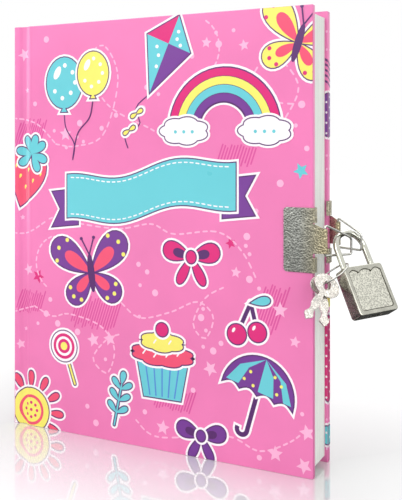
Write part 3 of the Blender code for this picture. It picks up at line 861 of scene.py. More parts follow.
@dataclass(frozen=True)
class Spot:
    """Where a motif lies, how large it is and how it leans, in millimetres and degrees."""

    at: Point
    size: float
    turn: float = 0.0

    def area(self, *places: Point) -> Outline:
        """An outline given as shares of the motif's size."""
        return placed(list(places), self.at, self.turn, self.size)

    def place(self, x: float, z: float) -> Point:
        """One place given as shares of the motif's size."""
        return self.area((x, z))[0]

    def oval(self, place: Point, across: float, up: float, turn: float = 0.0, count: int = 28) -> Outline:
        """An oval whose place and halves are shares of the size."""
        return oval(self.place(*place), self.size * across, self.size * up, turn, count)

    def dots(self, radius: float, *places: Point, count: int = 12) -> list[Outline]:
        """Round dots whose places and radius are shares of the size."""
        return [self.oval(place, radius, radius, 0, count) for place in places]

    def drops(self, width: float, length: float, *turns: float, root: Point = (0, 0)) -> list[Outline]:
        """Petals from one root, with sizes that are shares of the motif's."""
        return [drop(self.place(*root), self.size * width, self.size * length, turn) for turn in turns]


class Face(Enum):
    """The faces of the case that carry print, each with the limits of its ink in millimetres."""

    FRONT = (10.4, 0.15, 158.35, 199.85)
    BACK = (10.45, 0.15, 158.34, 199.85)
    SPINE = (0.8, 0.15, 22.7, 199.85)
    BACK_EDGE = (0.12, 0.15, 2.68, 199.84)
    BACK_RIM = (2.95, 0.2, 4.2, 199.8)
    FRONT_JOINT = (0.9, 0.16, 10.4, 199.84)


@dataclass
class Press:
    """Lays ink on one face of the case, one thin raised shape over another."""

    name: str
    face: Face
    book: Book
    finishes: Finishes
    first: float = 0.02 * MM
    thin: float = 0.012 * MM
    hair: float = 0.02
    base: int = 9
    border: float = 1.5
    line: float = 0.55
    creases: int = 25
    crease_pitch: float = 0.31 * MM
    sink: float = 0.04 * MM
    item: bpy.types.Object = field(init=False)
    level: float = field(init=False, default=0.0)

    def __enter__(self) -> Press:
        """Start an empty piece in edit mode.

        Returns:
            The press, ready to print.
        """
        self.item = start(self.name, bpy.ops.mesh.primitive_plane_add, size=MM)
        for ink in self.finishes.inks:
            self.item.data.materials.append(ink)
        edit_all()
        bpy.ops.mesh.delete(type="VERT")
        bpy.ops.object.mode_set(mode="OBJECT")
        bpy.ops.object.mode_set(mode="EDIT")
        return self

    def __exit__(self, *_: object) -> None:
        """Turn every face outwards, leave edit mode and drape the print of a joint."""
        bpy.ops.mesh.select_all(action="SELECT")
        bpy.ops.mesh.normals_make_consistent(inside=False)
        if self.face is Face.FRONT_JOINT:
            self.drape()
        else:
            bpy.ops.object.mode_set(mode="OBJECT")

    def drape(self) -> None:
        """Crease the print along the joint, leave edit mode and sink it into the groove."""
        for crease in range(self.creases):
            x = self.book.spine_x + self.book.joint_shoulder + crease * self.crease_pitch
            bpy.ops.mesh.select_all(action="SELECT")
            bpy.ops.mesh.bisect(plane_co=(x, 0.0, 0.0), plane_no=(1.0, 0.0, 0.0))
        bpy.ops.object.mode_set(mode="OBJECT")
        for vert in self.item.data.vertices:
            vert.co.y += self.book.groove_depth(vert.co.x) - self.sink

    def point(self, place: Point, lift: float) -> Vector:
        """Turn a place on the face, in millimetres, into one in space.

        Args:
            place: Distance from the spine edge and height, or depth and height on the spine and
                round the back cover's fore-edge.
            lift: Distance out of the face, in metres.

        Returns:
            The point.
        """
        book, across, up = self.book, place[0] * MM, place[1] * MM
        if self.face is Face.SPINE:
            return Vector((book.spine_x - lift, book.side_y(-1, across), up))
        if self.face is Face.BACK_EDGE:
            return Vector((book.fore_x + lift, book.side_y(1, across), up))
        if self.face is Face.BACK_RIM:
            return Vector((book.fore_x + book.cover - across, book.side_y(1, book.cover + lift), up))
        side = 1 if self.face is Face.BACK else -1
        return Vector((book.spine_x + across, book.side_y(side, -lift), up))

    def lay(self, outline: Outline, ink: Ink) -> None:
        """Print one shape over what is there.

        Args:
            outline: Its outline in millimetres.
            ink: Its colour.
        """
        outline = trim(outline, self.face.value)
        count = len(outline)
        if count < 3:
            return
        bpy.ops.mesh.select_all(action="DESELECT")
        bpy.ops.mesh.primitive_circle_add(vertices=count, radius=MM, fill_type="NGON")
        shape = bmesh.from_edit_mesh(self.item.data)
        shape.verts.ensure_lookup_table()
        for vert, place in zip(shape.verts[-count:], outline):
            vert.co = self.point(place, 0.0)
        bmesh.update_edit_mesh(self.item.data)
        self.item.active_material_index = INKS.index(ink)
        bpy.ops.object.material_slot_assign()
        rise = self.point((0, 0), self.first + self.level * self.thin) - self.point((0, 0), 0.0)
        bpy.ops.mesh.extrude_region_move(TRANSFORM_OT_translate={"value": rise})

    def over(self, outlines: list[Outline], ink: Ink, level: int | None = None) -> None:
        """Print shapes one level above the last, each a hair above the one before.

        Args:
            outlines: The shapes.
            ink: Their colour.
            level: The level to print above, where it isn't the last.
        """
        self.level = math.floor(self.level if level is None else level) + 1
        for outline in outlines:
            self.lay(outline, ink)
            self.level += self.hair

    def sticker(self, outlines: list[Outline], ink: Ink, level: int | None = None) -> None:
        """Print shapes with a dark line and a white border round them all.

        Args:
            outlines: The shapes.
            ink: Their colour.
            level: The level to print above, where it isn't the last.
        """
        self.over([grow(outline, self.border) for outline in outlines], Ink.WHITE, level)
        self.over([grow(outline, self.line) for outline in outlines], Ink.PLUM)
        self.over(outlines, ink)

    def dashes(self, knots: Outline, ink: Ink = Ink.PALE, width: float = 0.75, step: float = 3.4) -> None:
        """Print a stitched line through knots.

        Args:
            knots: The line's knots.
            ink: Its colour.
            width: Its width.
            step: The distance from one stitch to the next.
        """
        points = spline_points(knots, step / 2)
        self.over([stroke(start, end, width) for start, end in zip(points[::2], points[1::2])], ink)

    def routes(self, *routes: tuple[float, ...]) -> None:
        """Print stitched lines behind the motifs.

        Args:
            *routes: For each line, its knots' coordinates in turn.
        """
        self.level = 1
        for route in routes:
            self.dashes(list(zip(route[::2], route[1::2])))

    def balloon(self, spot: Spot, ink: Ink, string: Outline, above: int = 9) -> None:
        """Print a balloon on a string.

        Args:
            spot: Its place and size.
            ink: Its colour.
            string: The string's knots.
            above: The level to print above.
        """
        self.over(strokes(spline_points(string, 1.2), 0.5), Ink.PLUM, above)
        knot = star(spot.place(0, -0.53), spot.size * 0.08, 90, 3, 0.5)
        self.sticker([knot, spot.oval((0, 0), 0.42, 0.5)], ink)
        self.over([spot.oval((-0.16, 0.2), 0.07, 0.14, -28, 16)], Ink.WHITE)
        places = ((0.2, 0.2), (0.26, 0.0), (0.16, -0.2), (-0.04, -0.3), (-0.22, -0.16), (0.02, 0.34))
        self.over(spot.dots(0.045, *places), Ink.WHITE)

    def butterfly(self, spot: Spot, ink: Ink, dotted: Ink, heart: Ink) -> None:
        """Print a butterfly seen from above.

        Args:
            spot: Its place, size and turn.
            ink: Its wings' colour.
            dotted: The colour of the dots on them.
            heart: The colour of their middles.
        """
        at, size, turn = spot.at, spot.size, spot.turn
        high, low = (turn + 38, turn + 142), (turn - 42, turn + 222)
        self.sticker(spot.drops(0.42, 0.6, *high) + spot.drops(0.34, 0.44, *low), ink, self.base)
        self.over(spot.drops(0.2, 0.4, *high) + spot.drops(0.15, 0.28, *low), heart)
        reaches = [(way, 0.5) for way in high] + [(way, 0.36) for way in low]
        dots = [
            polar(at, size * (reach - 0.03 * abs(swing) / 17), way + swing)
            for way, reach in reaches
            for swing in (-17, 0, 17)
        ]
        self.over([oval(dot, size * 0.024, size * 0.024, 0, 12) for dot in dots], dotted)
        self.over([oval(at, size * 0.045, size * 0.21, turn)], Ink.PLUM)
        head = polar(at, size * 0.2, turn + 90)
        tips = [polar(head, size * 0.2, turn + 90 + side) for side in (-24, 24)]
        feelers = [part for tip in tips for part in (stroke(head, tip, 0.6), oval(tip, 0.8, 0.8, 0, 12))]
        self.over(feelers, Ink.PLUM)

    def rainbow(self, spot: Spot) -> None:
        """Print a rainbow that stands on two clouds.

        Args:
            spot: Its place and size.
        """
        outer = spot.size / 2
        inner = outer * 0.44
        rings = ((Ink.MAGENTA, 1.0), (Ink.YELLOW, 0.86), (Ink.TURQUOISE, 0.72), (Ink.PURPLE, 0.58))
        bands = [(Ink.WHITE, inner - 1.4, outer + 1.7, 2), (Ink.PLUM, inner - 0.5, outer + 0.6, 1)]
        bands += [(ink, outer * (share - 0.13), outer * share, 0) for ink, share in rings]
        self.level = self.base
        for ink, low, high, past in bands:
            self.over([band(spot.at, low, high, -past, 180 + past)], ink)
        for side in (-1, 1):
            x, z = spot.at[0] + side * outer * 0.73, spot.at[1] - 1.0
            self.sticker([cloud((x, z), spot.size * 0.2, spot.size * 0.1)], Ink.WHITE)
            dots = [(x + spot.size * k, z - 0.4) for k in (-0.08, 0.0, 0.08)]
            self.over([oval(dot, 0.8, 0.8, 0, 12) for dot in dots], Ink.TURQUOISE)

    def ribbon(self, at: Point, length: float, height: float, rise: float) -> None:
        """Print a blank waving ribbon with forked ends and white stitches.

        Args:
            at: Its middle.
            length: Its length.
            height: Its height.
            rise: How much higher each half ends.
        """

        def wave(shares: list[float], lift: float) -> Outline:
            """A line along the ribbon, at a height above its middle."""
            waves = [at[1] + rise * u + 2.6 * math.sin(u * math.pi * 1.5) for u in shares]
            return [(at[0] + length / 2 * u, z + lift) for u, z in zip(shares, waves)]

        self.level = self.base
        for side in (-1, 1):
            (base, middle), tip = wave([side * 0.86], 0.0)[0], at[0] + side * length * 0.6
            low, high, lean = middle - height * 0.66, middle + height * 0.16, side * rise * 0.3
            fork = (tip - side * 5, (low + high) / 2 + side * rise * 0.25)
            tail = [(base, low), (tip, low + lean), fork, (tip, high + lean), (base, high)]
            self.sticker([tail], Ink.PURPLE)
        steps = [index / 30 * 2 - 1 for index in range(31)]
        self.sticker([wave(steps, height / 2) + wave(steps[::-1], -height / 2)], Ink.TURQUOISE)
        self.level += 1
        for edge in (-1, 1):
            line = wave([0.95 * (index / 12 * 2 - 1) for index in range(13)], edge * (height / 2 - 1.6))
            self.dashes(line, Ink.WHITE, 0.55, 2.6)

    def cupcake(self, spot: Spot) -> None:
        """Print a cupcake in a pleated cup.

        Args:
            spot: Its place and size.
        """
        size, place = spot.size, spot.place
        cup = spot.area((-0.27, -0.5), (0.27, -0.5), (0.36, -0.06), (-0.36, -0.06))
        self.sticker([cup], Ink.TURQUOISE, self.base)
        pleats = (-0.24, -0.12, 0.0, 0.12, 0.24)
        self.over([stroke(place(k * 0.75, -0.47), place(k, -0.1), 0.7) for k in pleats], Ink.BLUE)
        self.sticker([cloud(place(0, 0.06), size * 0.4, size * 0.13, 8)], Ink.CORAL)
        self.sticker([cloud(place(0, 0.22), size * 0.28, size * 0.11, 6)], Ink.YELLOW)
        self.sticker([spot.oval((0, 0.38), 0.085, 0.085)], Ink.MAGENTA)
        crumbs = ((-0.28, 0.05), (-0.12, 0.02), (0.06, 0.04), (0.22, 0.07), (-0.12, 0.2), (0.1, 0.21))
        self.over([stroke(place(x, z), place(x + 0.03, z + 0.04), 0.7) for x, z in crumbs], Ink.WHITE)

    def umbrella(self, spot: Spot) -> None:
        """Print an open umbrella with gores and a hooked handle.

        Args:
            spot: Its place, size and turn.
        """
        size, half = spot.size, spot.size / 2
        handle = [stroke((0, -half), (0, 0.1 * size), 1.0), band((-2.4, -half), 1.9, 2.9, 180, 360)]
        self.sticker([placed(part, spot.at, spot.turn) for part in handle], Ink.PLUM, self.base)
        rim = [polar((0, 0), 0.5, 7.5 * index) for index in range(25)]
        hem = [(index / 24 - 0.5, abs(math.sin(math.pi * index / 6)) * 0.06) for index in range(1, 24)]
        self.sticker([spot.area(*rim, *hem)], Ink.PURPLE)
        gores = [
            spot.area((left, 0.05), (right, 0.05), (right * 0.7, 0.3), (0, 0.49), (left * 0.7, 0.3))
            for left, right in ((-0.46, -0.28), (0.0, 0.22), (0.36, 0.47))
        ]
        self.over(gores, Ink.TURQUOISE)
        dots = ((-0.22, 0.14), (-0.16, 0.26), (-0.08, 0.1), (0.25, 0.12), (0.28, 0.24), (0.17, 0.32))
        self.over([spot.oval(dot, 0.022, 0.022, spot.turn, 12) for dot in dots], Ink.YELLOW)

    def sun(self, spot: Spot) -> None:
        """Print a sun with short rays.

        Args:
            spot: Its place and size.
        """
        ways = range(0, 360, 30)
        rays = [spot.drops(0.12, 0.24, way, root=polar((0, 0), 0.3, way))[0] for way in ways]
        self.sticker(rays, Ink.CORAL, self.base)
        self.sticker(spot.dots(0.3, (0, 0), count=28), Ink.YELLOW)
        self.over(spot.dots(0.21, (0, 0), count=28), Ink.CORAL)
        self.over(spot.dots(0.17, (0, 0), count=28), Ink.YELLOW)
        ring = [polar((0, 0), 0.1, 45 * index) for index in range(8)]
        self.over(spot.dots(0.022, (0, 0), *ring), Ink.MAGENTA)

    def cherries(self, spot: Spot) -> None:
        """Print two cherries on stalks with a leaf.

        Args:
            spot: Its place and size.
        """
        stem, left, right = (0.1, 0.45), (-0.2, -0.2), (0.24, -0.12)
        stalks = [stroke(spot.place(*cherry), spot.place(*stem), 0.8) for cherry in (left, right)]
        self.sticker(stalks, Ink.PLUM, self.base)
        self.sticker(spot.drops(0.22, 0.42, 12, root=stem), Ink.TURQUOISE)
        self.sticker([spot.oval(left, 0.2, 0.2), spot.oval(right, 0.19, 0.19)], Ink.MAGENTA)
        shines = [(x - 0.07, z + 0.08) for x, z in (left, right)]
        self.over([spot.oval(shine, 0.03, 0.055, -30, 14) for shine in shines], Ink.WHITE)

    def bow(self, spot: Spot, ink: Ink) -> None:
        """Print a tied bow.

        Args:
            spot: Its place and size.
            ink: Its colour.
        """
        loops = spot.drops(0.2, 0.5, -62, 242) + spot.drops(0.4, 0.52, 14, 166)
        self.sticker(loops, ink, self.base)
        self.over(spot.drops(0.2, 0.34, 14, 166), Ink.PLUM)
        self.sticker([spot.oval((0, 0), 0.085, 0.1)], ink)

    def lollipop(self, spot: Spot) -> None:
        """Print a lollipop with rings.

        Args:
            spot: Its place, size and turn.
        """
        self.sticker([stroke(spot.at, spot.place(0, -0.75), 1.1)], Ink.YELLOW, self.base)
        self.sticker(spot.dots(0.3, (0, 0), count=28), Ink.WHITE)
        for share, ink in ((0.25, Ink.MAGENTA), (0.19, Ink.WHITE), (0.14, Ink.MAGENTA), (0.08, Ink.YELLOW)):
            self.over(spot.dots(share, (0, 0), count=28), ink)

    def kite(self, spot: Spot, tail: Outline) -> None:
        """Print a kite with four panels and bows on its tail.

        Args:
            spot: Its place, size and turn.
            tail: The tail's knots.
        """
        knots = spline_points(tail, 2.2)
        self.over(strokes(knots, 0.5), Ink.PLUM, self.base)
        self.sticker([drop(knot, 2.4, 3.6, turn) for knot in knots[5::5] for turn in (30, 210)], Ink.YELLOW)
        top, foot, left, right, middle = (0.0, 0.5), (0.0, -0.62), (-0.36, 0.1), (0.36, 0.1), (0.0, 0.1)
        self.sticker([spot.area(top, left, foot, right)], Ink.TURQUOISE)
        self.over([spot.area(top, left, middle)], Ink.MAGENTA)
        self.over([spot.area(middle, foot, right)], Ink.PURPLE)
        dots = ((0.1, 0.2), (0.18, 0.14), (0.08, 0.3), (-0.08, -0.1), (-0.15, 0.0), (-0.05, -0.25))
        self.over(spot.dots(0.025, *dots), Ink.WHITE)

    def strawberry(self, spot: Spot) -> None:
        """Print a strawberry with seeds and leaves.

        Args:
            spot: Its place, size and turn.
        """
        rows = ((-0.2, (0,)), (-0.05, (-0.14, 0.14)), (0.1, (0, -0.26, 0.26)), (0.25, (-0.13, 0.13)))
        seeds = [(along, across) for along, places in rows for across in places]
        self.sticker(spot.drops(0.95, 1.0, spot.turn, root=(-0.5, 0)), Ink.CORAL, self.base)
        self.over([spot.drops(0.05, 0.08, spot.turn, root=seed)[0] for seed in seeds], Ink.YELLOW)
        leaves = [spot.turn + way for way in (-140, -95, -40, 0, 40, 95, 140)]
        self.sticker(spot.drops(0.18, 0.32, *leaves, root=(0.42, 0)), Ink.TURQUOISE)

    def sprig(self, spot: Spot, ink: Ink) -> None:
        """Print a stem with paired leaves.

        Args:
            spot: Its root, its length and the way that it points.
            ink: Its colour.
        """
        tip = spot.place(1, 0)
        leaves = spot.drops(0.2, 0.32, spot.turn, root=(1, 0))
        for share in (0.3, 0.6, 0.88):
            leaves += spot.drops(0.18, 0.34, spot.turn - 52, spot.turn + 52, root=(share, 0))
        self.sticker([stroke(spot.at, tip, 0.8), *leaves], ink, self.base)

    def hatch(self, at: Point, width: float, height: float, count: int) -> None:
        """Print slanting strokes of deeper pink behind a motif.

        Args:
            at: Their middle.
            width: The width that they take up.
            height: About the height that they take up.
            count: How many there are.
        """
        draw = random.Random(int(at[0] * 7 + at[1]))
        lines = []
        for index in range(count):
            u = at[0] - width / 2 + width * index / count
            low, high = draw.uniform(0.3, 0.5) * height, draw.uniform(0.3, 0.5) * height
            lines.append(stroke((u - low * 0.35, at[1] - low), (u + high * 0.35, at[1] + high), 0.7))
        self.over(lines, Ink.DEEP, -1)

    def dotted(self, at: Point, radius: float, start: float, end: float) -> None:
        """Print an arc of small stitches round a motif.

        Args:
            at: The arc's middle.
            radius: Its radius.
            start: Where it starts, in degrees.
            end: Where it ends, in degrees.
        """
        self.level = 1
        self.dashes([polar(at, radius, start + (end - start) * index / 8) for index in range(9)])

    def scatter(self, seed: int, count: int, keep_off: list[tuple[float, float, float]]) -> None:
        """Print pale dots and stars in the free places.

        Args:
            seed: The draw's seed.
            count: How many to try.
            keep_off: Places and radii to keep clear of.
        """
        draw = random.Random(seed)
        taken = list(keep_off)
        self.level = 1
        for _ in range(count):
            place = (draw.uniform(13, 156), draw.uniform(5, 195))
            size = draw.choice((0.9, 1.2, 1.6, 2.6, 3.6))
            if any(math.dist(place, (x, z)) < radius + size + 1.5 for x, z, radius in taken):
                continue
            taken.append((*place, size))
            if size > 2:
                ink = draw.choice((Ink.PALE, Ink.PALE, Ink.PALE, Ink.MAGENTA, Ink.TURQUOISE))
                self.lay(star(place, size, draw.uniform(60, 120)), ink)
            else:
                self.lay(oval(place, size, size, 0, 16), Ink.PALE)


@dataclass
class CasePrint:
    """The generic print on the front, the back, the spine and the back's fore-edge."""

    book: Book
    finishes: Finishes

    def press(self, name: str, face: Face) -> Press:
        """A press for one face."""
        return Press(name, face, self.book, self.finishes)

    def by_the_spine(self, press: Press) -> None:
        """Print what lies partly on the cover and partly on its joint.

        Args:
            press: The press of either face.
        """
        press.hatch((10, 144), 17, 20, 13)
        press.hatch((11, 62), 16, 12, 12)
        high, middle = (0, 154, 8, 153, 16, 150, 26, 141), (0, 96, 6, 96, 12, 98, 22, 104)
        press.routes(high, middle, (0, 56, 6, 58, 13, 60))
        press.strawberry(Spot((8, 124), 30, 74))
        press.sun(Spot((11, 8), 36))
        stars = ((6, 186, 3.4), (9, 78, 3.2), (4, 40, 2.6), (8, 168, 1.6), (5, 104, 1.4), (7, 48, 1.2))
        press.over([star((x, z), size, 80 + 10 * size) for x, z, size in stars], Ink.PALE, 1)

    def front_joint(self) -> bpy.types.Object:
        """Print the part of the front that lies on the joint's paper.

        Returns:
            The print.
        """
        with self.press("front_joint_print", Face.FRONT_JOINT) as press:
            self.by_the_spine(press)
        return press.item

    def front(self) -> bpy.types.Object:
        """Print the front cover.

        Returns:
            The print.
        """
        with self.press("front_print", Face.FRONT) as press:
            keep = [(31, 170, 17), (47, 174, 14), (116, 150, 31), (78, 120, 24), (48, 118, 22)]
            keep += [(108, 124, 22), (47, 80, 24), (101, 90, 15), (128, 62, 12), (86, 44, 18)]
            keep += [(133, 30, 18), (84, 184, 14), (32, 34, 14), (106, 12, 11), (61, 20, 12)]
            keep += [(150, 184, 15), (152, 100, 19), (11, 8, 20), (8, 124, 19)]
            press.scatter(11, 420, keep)
            press.hatch((50, 60), 26, 16, 18)
            press.hatch((93, 24), 20, 10, 14)
            press.hatch((124, 136), 18, 10, 12)
            press.hatch((140, 70), 12, 22, 9)
            press.routes(
                (26, 141, 38, 140, 54, 146, 62, 172, 54, 188, 45, 180, 56, 160, 80, 148, 96, 140),
                (136, 140, 146, 152, 152, 166, 142, 178, 132, 172, 140, 160, 157, 158),
                (22, 104, 30, 106, 36, 103, 62, 101, 80, 104, 92, 100, 114, 102, 126, 94, 134, 80),
                (64, 66, 74, 60, 90, 64, 104, 70, 112, 64, 108, 54, 102, 60, 108, 72, 118, 78),
                (13, 60, 24, 56, 34, 58, 52, 54, 60, 44, 56, 32, 48, 38, 56, 48, 66, 52),
                (72, 12, 84, 6, 118, 12, 134, 8, 148, 14, 157, 22),
            )
            press.dotted((100, 184), 15, -100, 60)
            press.dotted((28, 82), 14, 110, 240)
            press.balloon(Spot((31, 171), 25), Ink.TURQUOISE, [(31, 158), (32, 149), (37, 141), (36, 133)])
            press.balloon(Spot((48, 175), 21), Ink.YELLOW, [(48, 164), (46, 154), (39, 146), (36, 133)], 20)
            press.kite(Spot((88, 184), 34, -24), [(79, 164), (72, 158), (74, 150), (66, 146), (68, 138)])
            press.rainbow(Spot((117, 148), 54))
            press.ribbon((78, 119), 90, 21, 6)
            press.butterfly(Spot((152, 184), 40, -18), Ink.YELLOW, Ink.MAGENTA, Ink.CORAL)
            press.butterfly(Spot((47, 79), 44, 8), Ink.PURPLE, Ink.YELLOW, Ink.CORAL)
            press.bow(Spot((101, 90), 28), Ink.MAGENTA)
            press.cherries(Spot((128, 62), 22))
            press.cupcake(Spot((86, 42), 36))
            press.umbrella(Spot((133, 32), 34, -16))
            press.lollipop(Spot((31, 42), 25, 20))
            press.sprig(Spot((60, 8), 20, 78), Ink.TURQUOISE)
            press.bow(Spot((106, 10), 24), Ink.PURPLE)
            self.by_the_spine(press)
        return press.item

    def back(self) -> bpy.types.Object:
        """Print the back cover.

        Returns:
            The print.
        """
        with self.press("back_print", Face.BACK) as press:
            keep = [(118, 158, 24), (46, 150, 30), (90, 100, 28), (34, 62, 18), (126, 52, 18)]
            press.scatter(29, 300, [*keep, (70, 32, 16), (152, 100, 19)])
            press.routes(
                (16, 112, 34, 120, 58, 118, 66, 132, 82, 142, 96, 136, 108, 128, 126, 126),
                (50, 74, 62, 70, 74, 60, 96, 62, 106, 70, 100, 80, 92, 70, 104, 58),
                (16, 30, 30, 24, 48, 30, 86, 20, 104, 24, 124, 18, 146, 24),
            )
            press.rainbow(Spot((46, 144), 50))
            press.butterfly(Spot((118, 156), 42, -10), Ink.TURQUOISE, Ink.YELLOW, Ink.MAGENTA)
            press.butterfly(Spot((90, 98), 46, 6), Ink.YELLOW, Ink.PURPLE, Ink.CORAL)
            press.cherries(Spot((34, 62), 26))
            press.umbrella(Spot((126, 50), 32, 14))
            press.bow(Spot((70, 33), 28), Ink.TURQUOISE)
        return press.item

    def spine(self) -> bpy.types.Object:
        """Print the spine.

        Returns:
            The print.
        """
        with self.press("spine_print", Face.SPINE) as press:
            for index in range(9):
                x, z = 11.75, 14 + index * 21.5
                ink = (Ink.TURQUOISE, Ink.YELLOW, Ink.PURPLE)[index % 3]
                press.sticker([star((x, z), 5.2, 90 + 9 * (-1) ** index)], ink, 0)
                press.over([oval((x + off, z + 10.7), 0.8, 0.8, 0, 14) for off in (-6, -2, 2, 6)], Ink.PALE)
        return press.item

    def edge(self, name: str, face: Face) -> bpy.types.Object:
        """Print what runs round the back cover's fore-edge.

        Args:
            name: The piece's name.
            face: The edge, or the rim inside it.

        Returns:
            The print.
        """
        with self.press(name, face) as press:
            heights = (166, 168.6, 171, 173.4, 175.6)
            press.over([stroke((-1.0, z), (5.0, z + 3.6), 0.9) for z in heights], Ink.PLUM)
            patches = ((154, 9.5, Ink.PURPLE), (46, 19, Ink.MAGENTA), (12, 4, Ink.TURQUOISE))
            for height, reach, ink in patches:
                press.sticker([oval((2.2, height), 5.5, reach)], ink, 2)
                rows = int(reach / 4.6)
                for across, up in ((1.2, -1.2), (3.55, 1.1)):
                    dots = [(across, height + up + 4.6 * row) for row in range(-rows, rows + 1)]
                    press.over([oval(dot, 0.44, 0.52, 0, 12) for dot in dots], Ink.WHITE)
            press.over([oval((2.0, 71), 4.4, 2.4)], Ink.YELLOW, 4)
            dots = [(x, z) for z in (6, 19, 80, 88, 130, 136, 183, 191) for x in (1.0, 3.4)]
            press.over([oval(dot, 0.45, 0.55, 0, 10) for dot in dots], Ink.PALE)
        return press.item

    def build(self) -> None:
        """Print every face, and tie each print but the joint's to its body."""
        settle(self.front(), "front_cover", "printed_wrap")
        bend(self.front_joint(), -1, "front_cover", *self.book.joint_ends(-1), "printed_wrap")
        settle(self.back(), "back_cover", "printed_wrap")
        for name, face in (("back_edge_print", Face.BACK_EDGE), ("back_rim_print", Face.BACK_RIM)):
            settle(self.edge(name, face), "back_cover", "printed_wrap")
        settle(self.spine(), "text_block", "printed_wrap")


@dataclass
class JointPaper:
    """The paper that crosses one joint: the printed skin outside and the end paper inside."""

    book: Book
    finishes: Finishes
    side: int
    cover: str
    film: float = 0.03 * MM
    rows: int = 20
    overlap: float = 0.9 * MM
    margin: float = 3 * MM
    lining_lap: float = 0.8 * MM
    lining_gap: float = 0.09 * MM
    lining_bend: float = 0.2 * MM
    smooth_deg: float = 40.0

    def profile(self) -> Outline:
        """Work out the printed skin's section.

        Returns:
            Its points as (x, depth).
        """
        book = self.book
        shoulder, board = book.spine_x + book.joint_shoulder, book.spine_x + book.joint_width
        stops = [shoulder - self.overlap, shoulder, shoulder + book.joint_slope]
        stops += [board - book.joint_slope, board, board + self.overlap]
        places = [
            near + (far - near) * index / count
            for near, far, count in zip(stops, stops[1:], (1, 8, 9, 8, 1))
            for index in range(count)
        ]
        return [(x, book.groove_depth(x)) for x in places] + [(stops[-1], 0.0)]

    def strip(self, name: str, section: Outline, low: float, high: float) -> bpy.types.Object:
        """Make a thin strip of paper from a section.

        Args:
            name: The piece's name.
            section: Its section as (x, depth).
            low: Its foot.
            high: Its head.

        Returns:
            The piece.
        """
        cells = {"x_subdivisions": len(section) - 1, "y_subdivisions": self.rows}
        item = start(name, bpy.ops.mesh.primitive_grid_add, size=MM, **cells)
        for index, vert in enumerate(item.data.vertices):
            row, column = divmod(index, len(section))
            x, depth = section[column]
            vert.co = (x, self.book.side_y(self.side, depth), low + (high - low) * row / self.rows)
        edit_all()
        if self.side > 0:
            bpy.ops.mesh.flip_normals()
        bpy.ops.object.mode_set(mode="OBJECT")
        modify(item, "SOLIDIFY", thickness=self.film, offset=1.0)
        bpy.ops.object.shade_smooth_by_angle(angle=math.radians(self.smooth_deg))
        return item

    def build(self) -> None:
        """Make both strips across the joint and give each its finish."""
        book, body = self.book, f"{self.cover}_cover"
        skin = self.strip(f"{self.cover}_joint_skin", self.profile(), 0.0, book.height)
        dress(skin, self.finishes.ground)
        bend(skin, self.side, body, *book.joint_ends(self.side), "printed_wrap")
        board = book.spine_x + book.joint_width
        near, far = book.hinge_x - self.overlap, board + self.lining_lap
        depth = book.lined + self.lining_gap
        section = [(near + (far - near) * index / 16, depth) for index in range(17)]
        head = book.height - self.margin
        lining = self.strip(f"{self.cover}_joint_end_paper", section, self.margin, head)
        dress(lining, self.finishes.plain)
        y = book.side_y(self.side, book.lined)
        ends = (book.hinge_x - self.lining_bend, y), (far - self.lining_lap, y)
        bend(lining, self.side, body, *ends, "end_paper")


@dataclass
class Hardware:
    """The hasps, bails, padlock, ring and keys, with softened pressed edges."""

    nodes: dict
    finishes: Finishes
    hasp_round: float = 0.1 * MM
    key_round: float = 0.16 * MM
    shell_round: float = 0.12 * MM
    weld: float = 1e-6
    flat_deg: float = 0.5
    sharp_deg: float = 40.0
    smooth_deg: float = 50.0

    def softened(self, node: str, body: str, slot: str, width: float, finish: bpy.types.Material) -> None:
        """Replace a pressed node by a copy whose sharp edges are rounded.

        Args:
            node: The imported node.
            body: The body that it rides on.
            slot: The record's material slot.
            width: The rounding's width, or 0 for smoother shading alone.
            finish: The material.
        """
        piece = bpy.data.objects.new(f"{node}_dressed", self.nodes[node].data.copy())
        bpy.context.scene.collection.objects.link(piece)
        deselect()
        piece.select_set(True)
        bpy.context.view_layer.objects.active = piece
        edit_all()
        bpy.ops.mesh.remove_doubles(threshold=self.weld)
        bpy.ops.mesh.dissolve_limited(angle_limit=math.radians(self.flat_deg))
        bpy.ops.object.mode_set(mode="OBJECT")
        if width:
            sharp = {"limit_method": "ANGLE", "angle_limit": math.radians(self.sharp_deg)}
            modify(piece, "BEVEL", width=width, segments=2, **sharp)
        bpy.ops.object.shade_smooth_by_angle(angle=math.radians(self.smooth_deg))
        modify(piece, "WEIGHTED_NORMAL", weight=100, keep_sharp=True)
        piece.data.materials.clear()
        piece.data.materials.append(finish)
        settle(piece, body, slot, node)

    def build(self) -> None:
        """Dress every metal piece."""
        finishes = self.finishes
        for side in ("front", "back"):
            self.softened(f"{side}_hasp", f"{side}_cover", "stippled_steel", self.hasp_round, finishes.hasp)
            self.softened(f"{side}_bail", f"{side}_bail", "bail_wire", 0.0, finishes.bail)
        for name in ("key_1", "key_2"):
            self.softened(name, name, "key_steel", self.key_round, finishes.key)
        self.softened("padlock_front_shell", "padlock_case", "lock_steel", self.shell_round, finishes.case)
        self.softened("shackle", "shackle", "polished_steel", 0.0, finishes.shackle)
        self.softened("key_ring", "key_ring", "bail_wire", 0.0, finishes.bail)
        dress(self.nodes["padlock_back_plate"], finishes.case)
        for name in ("lock_latch", "latch_spring"):
            dress(self.nodes[name], finishes.key)


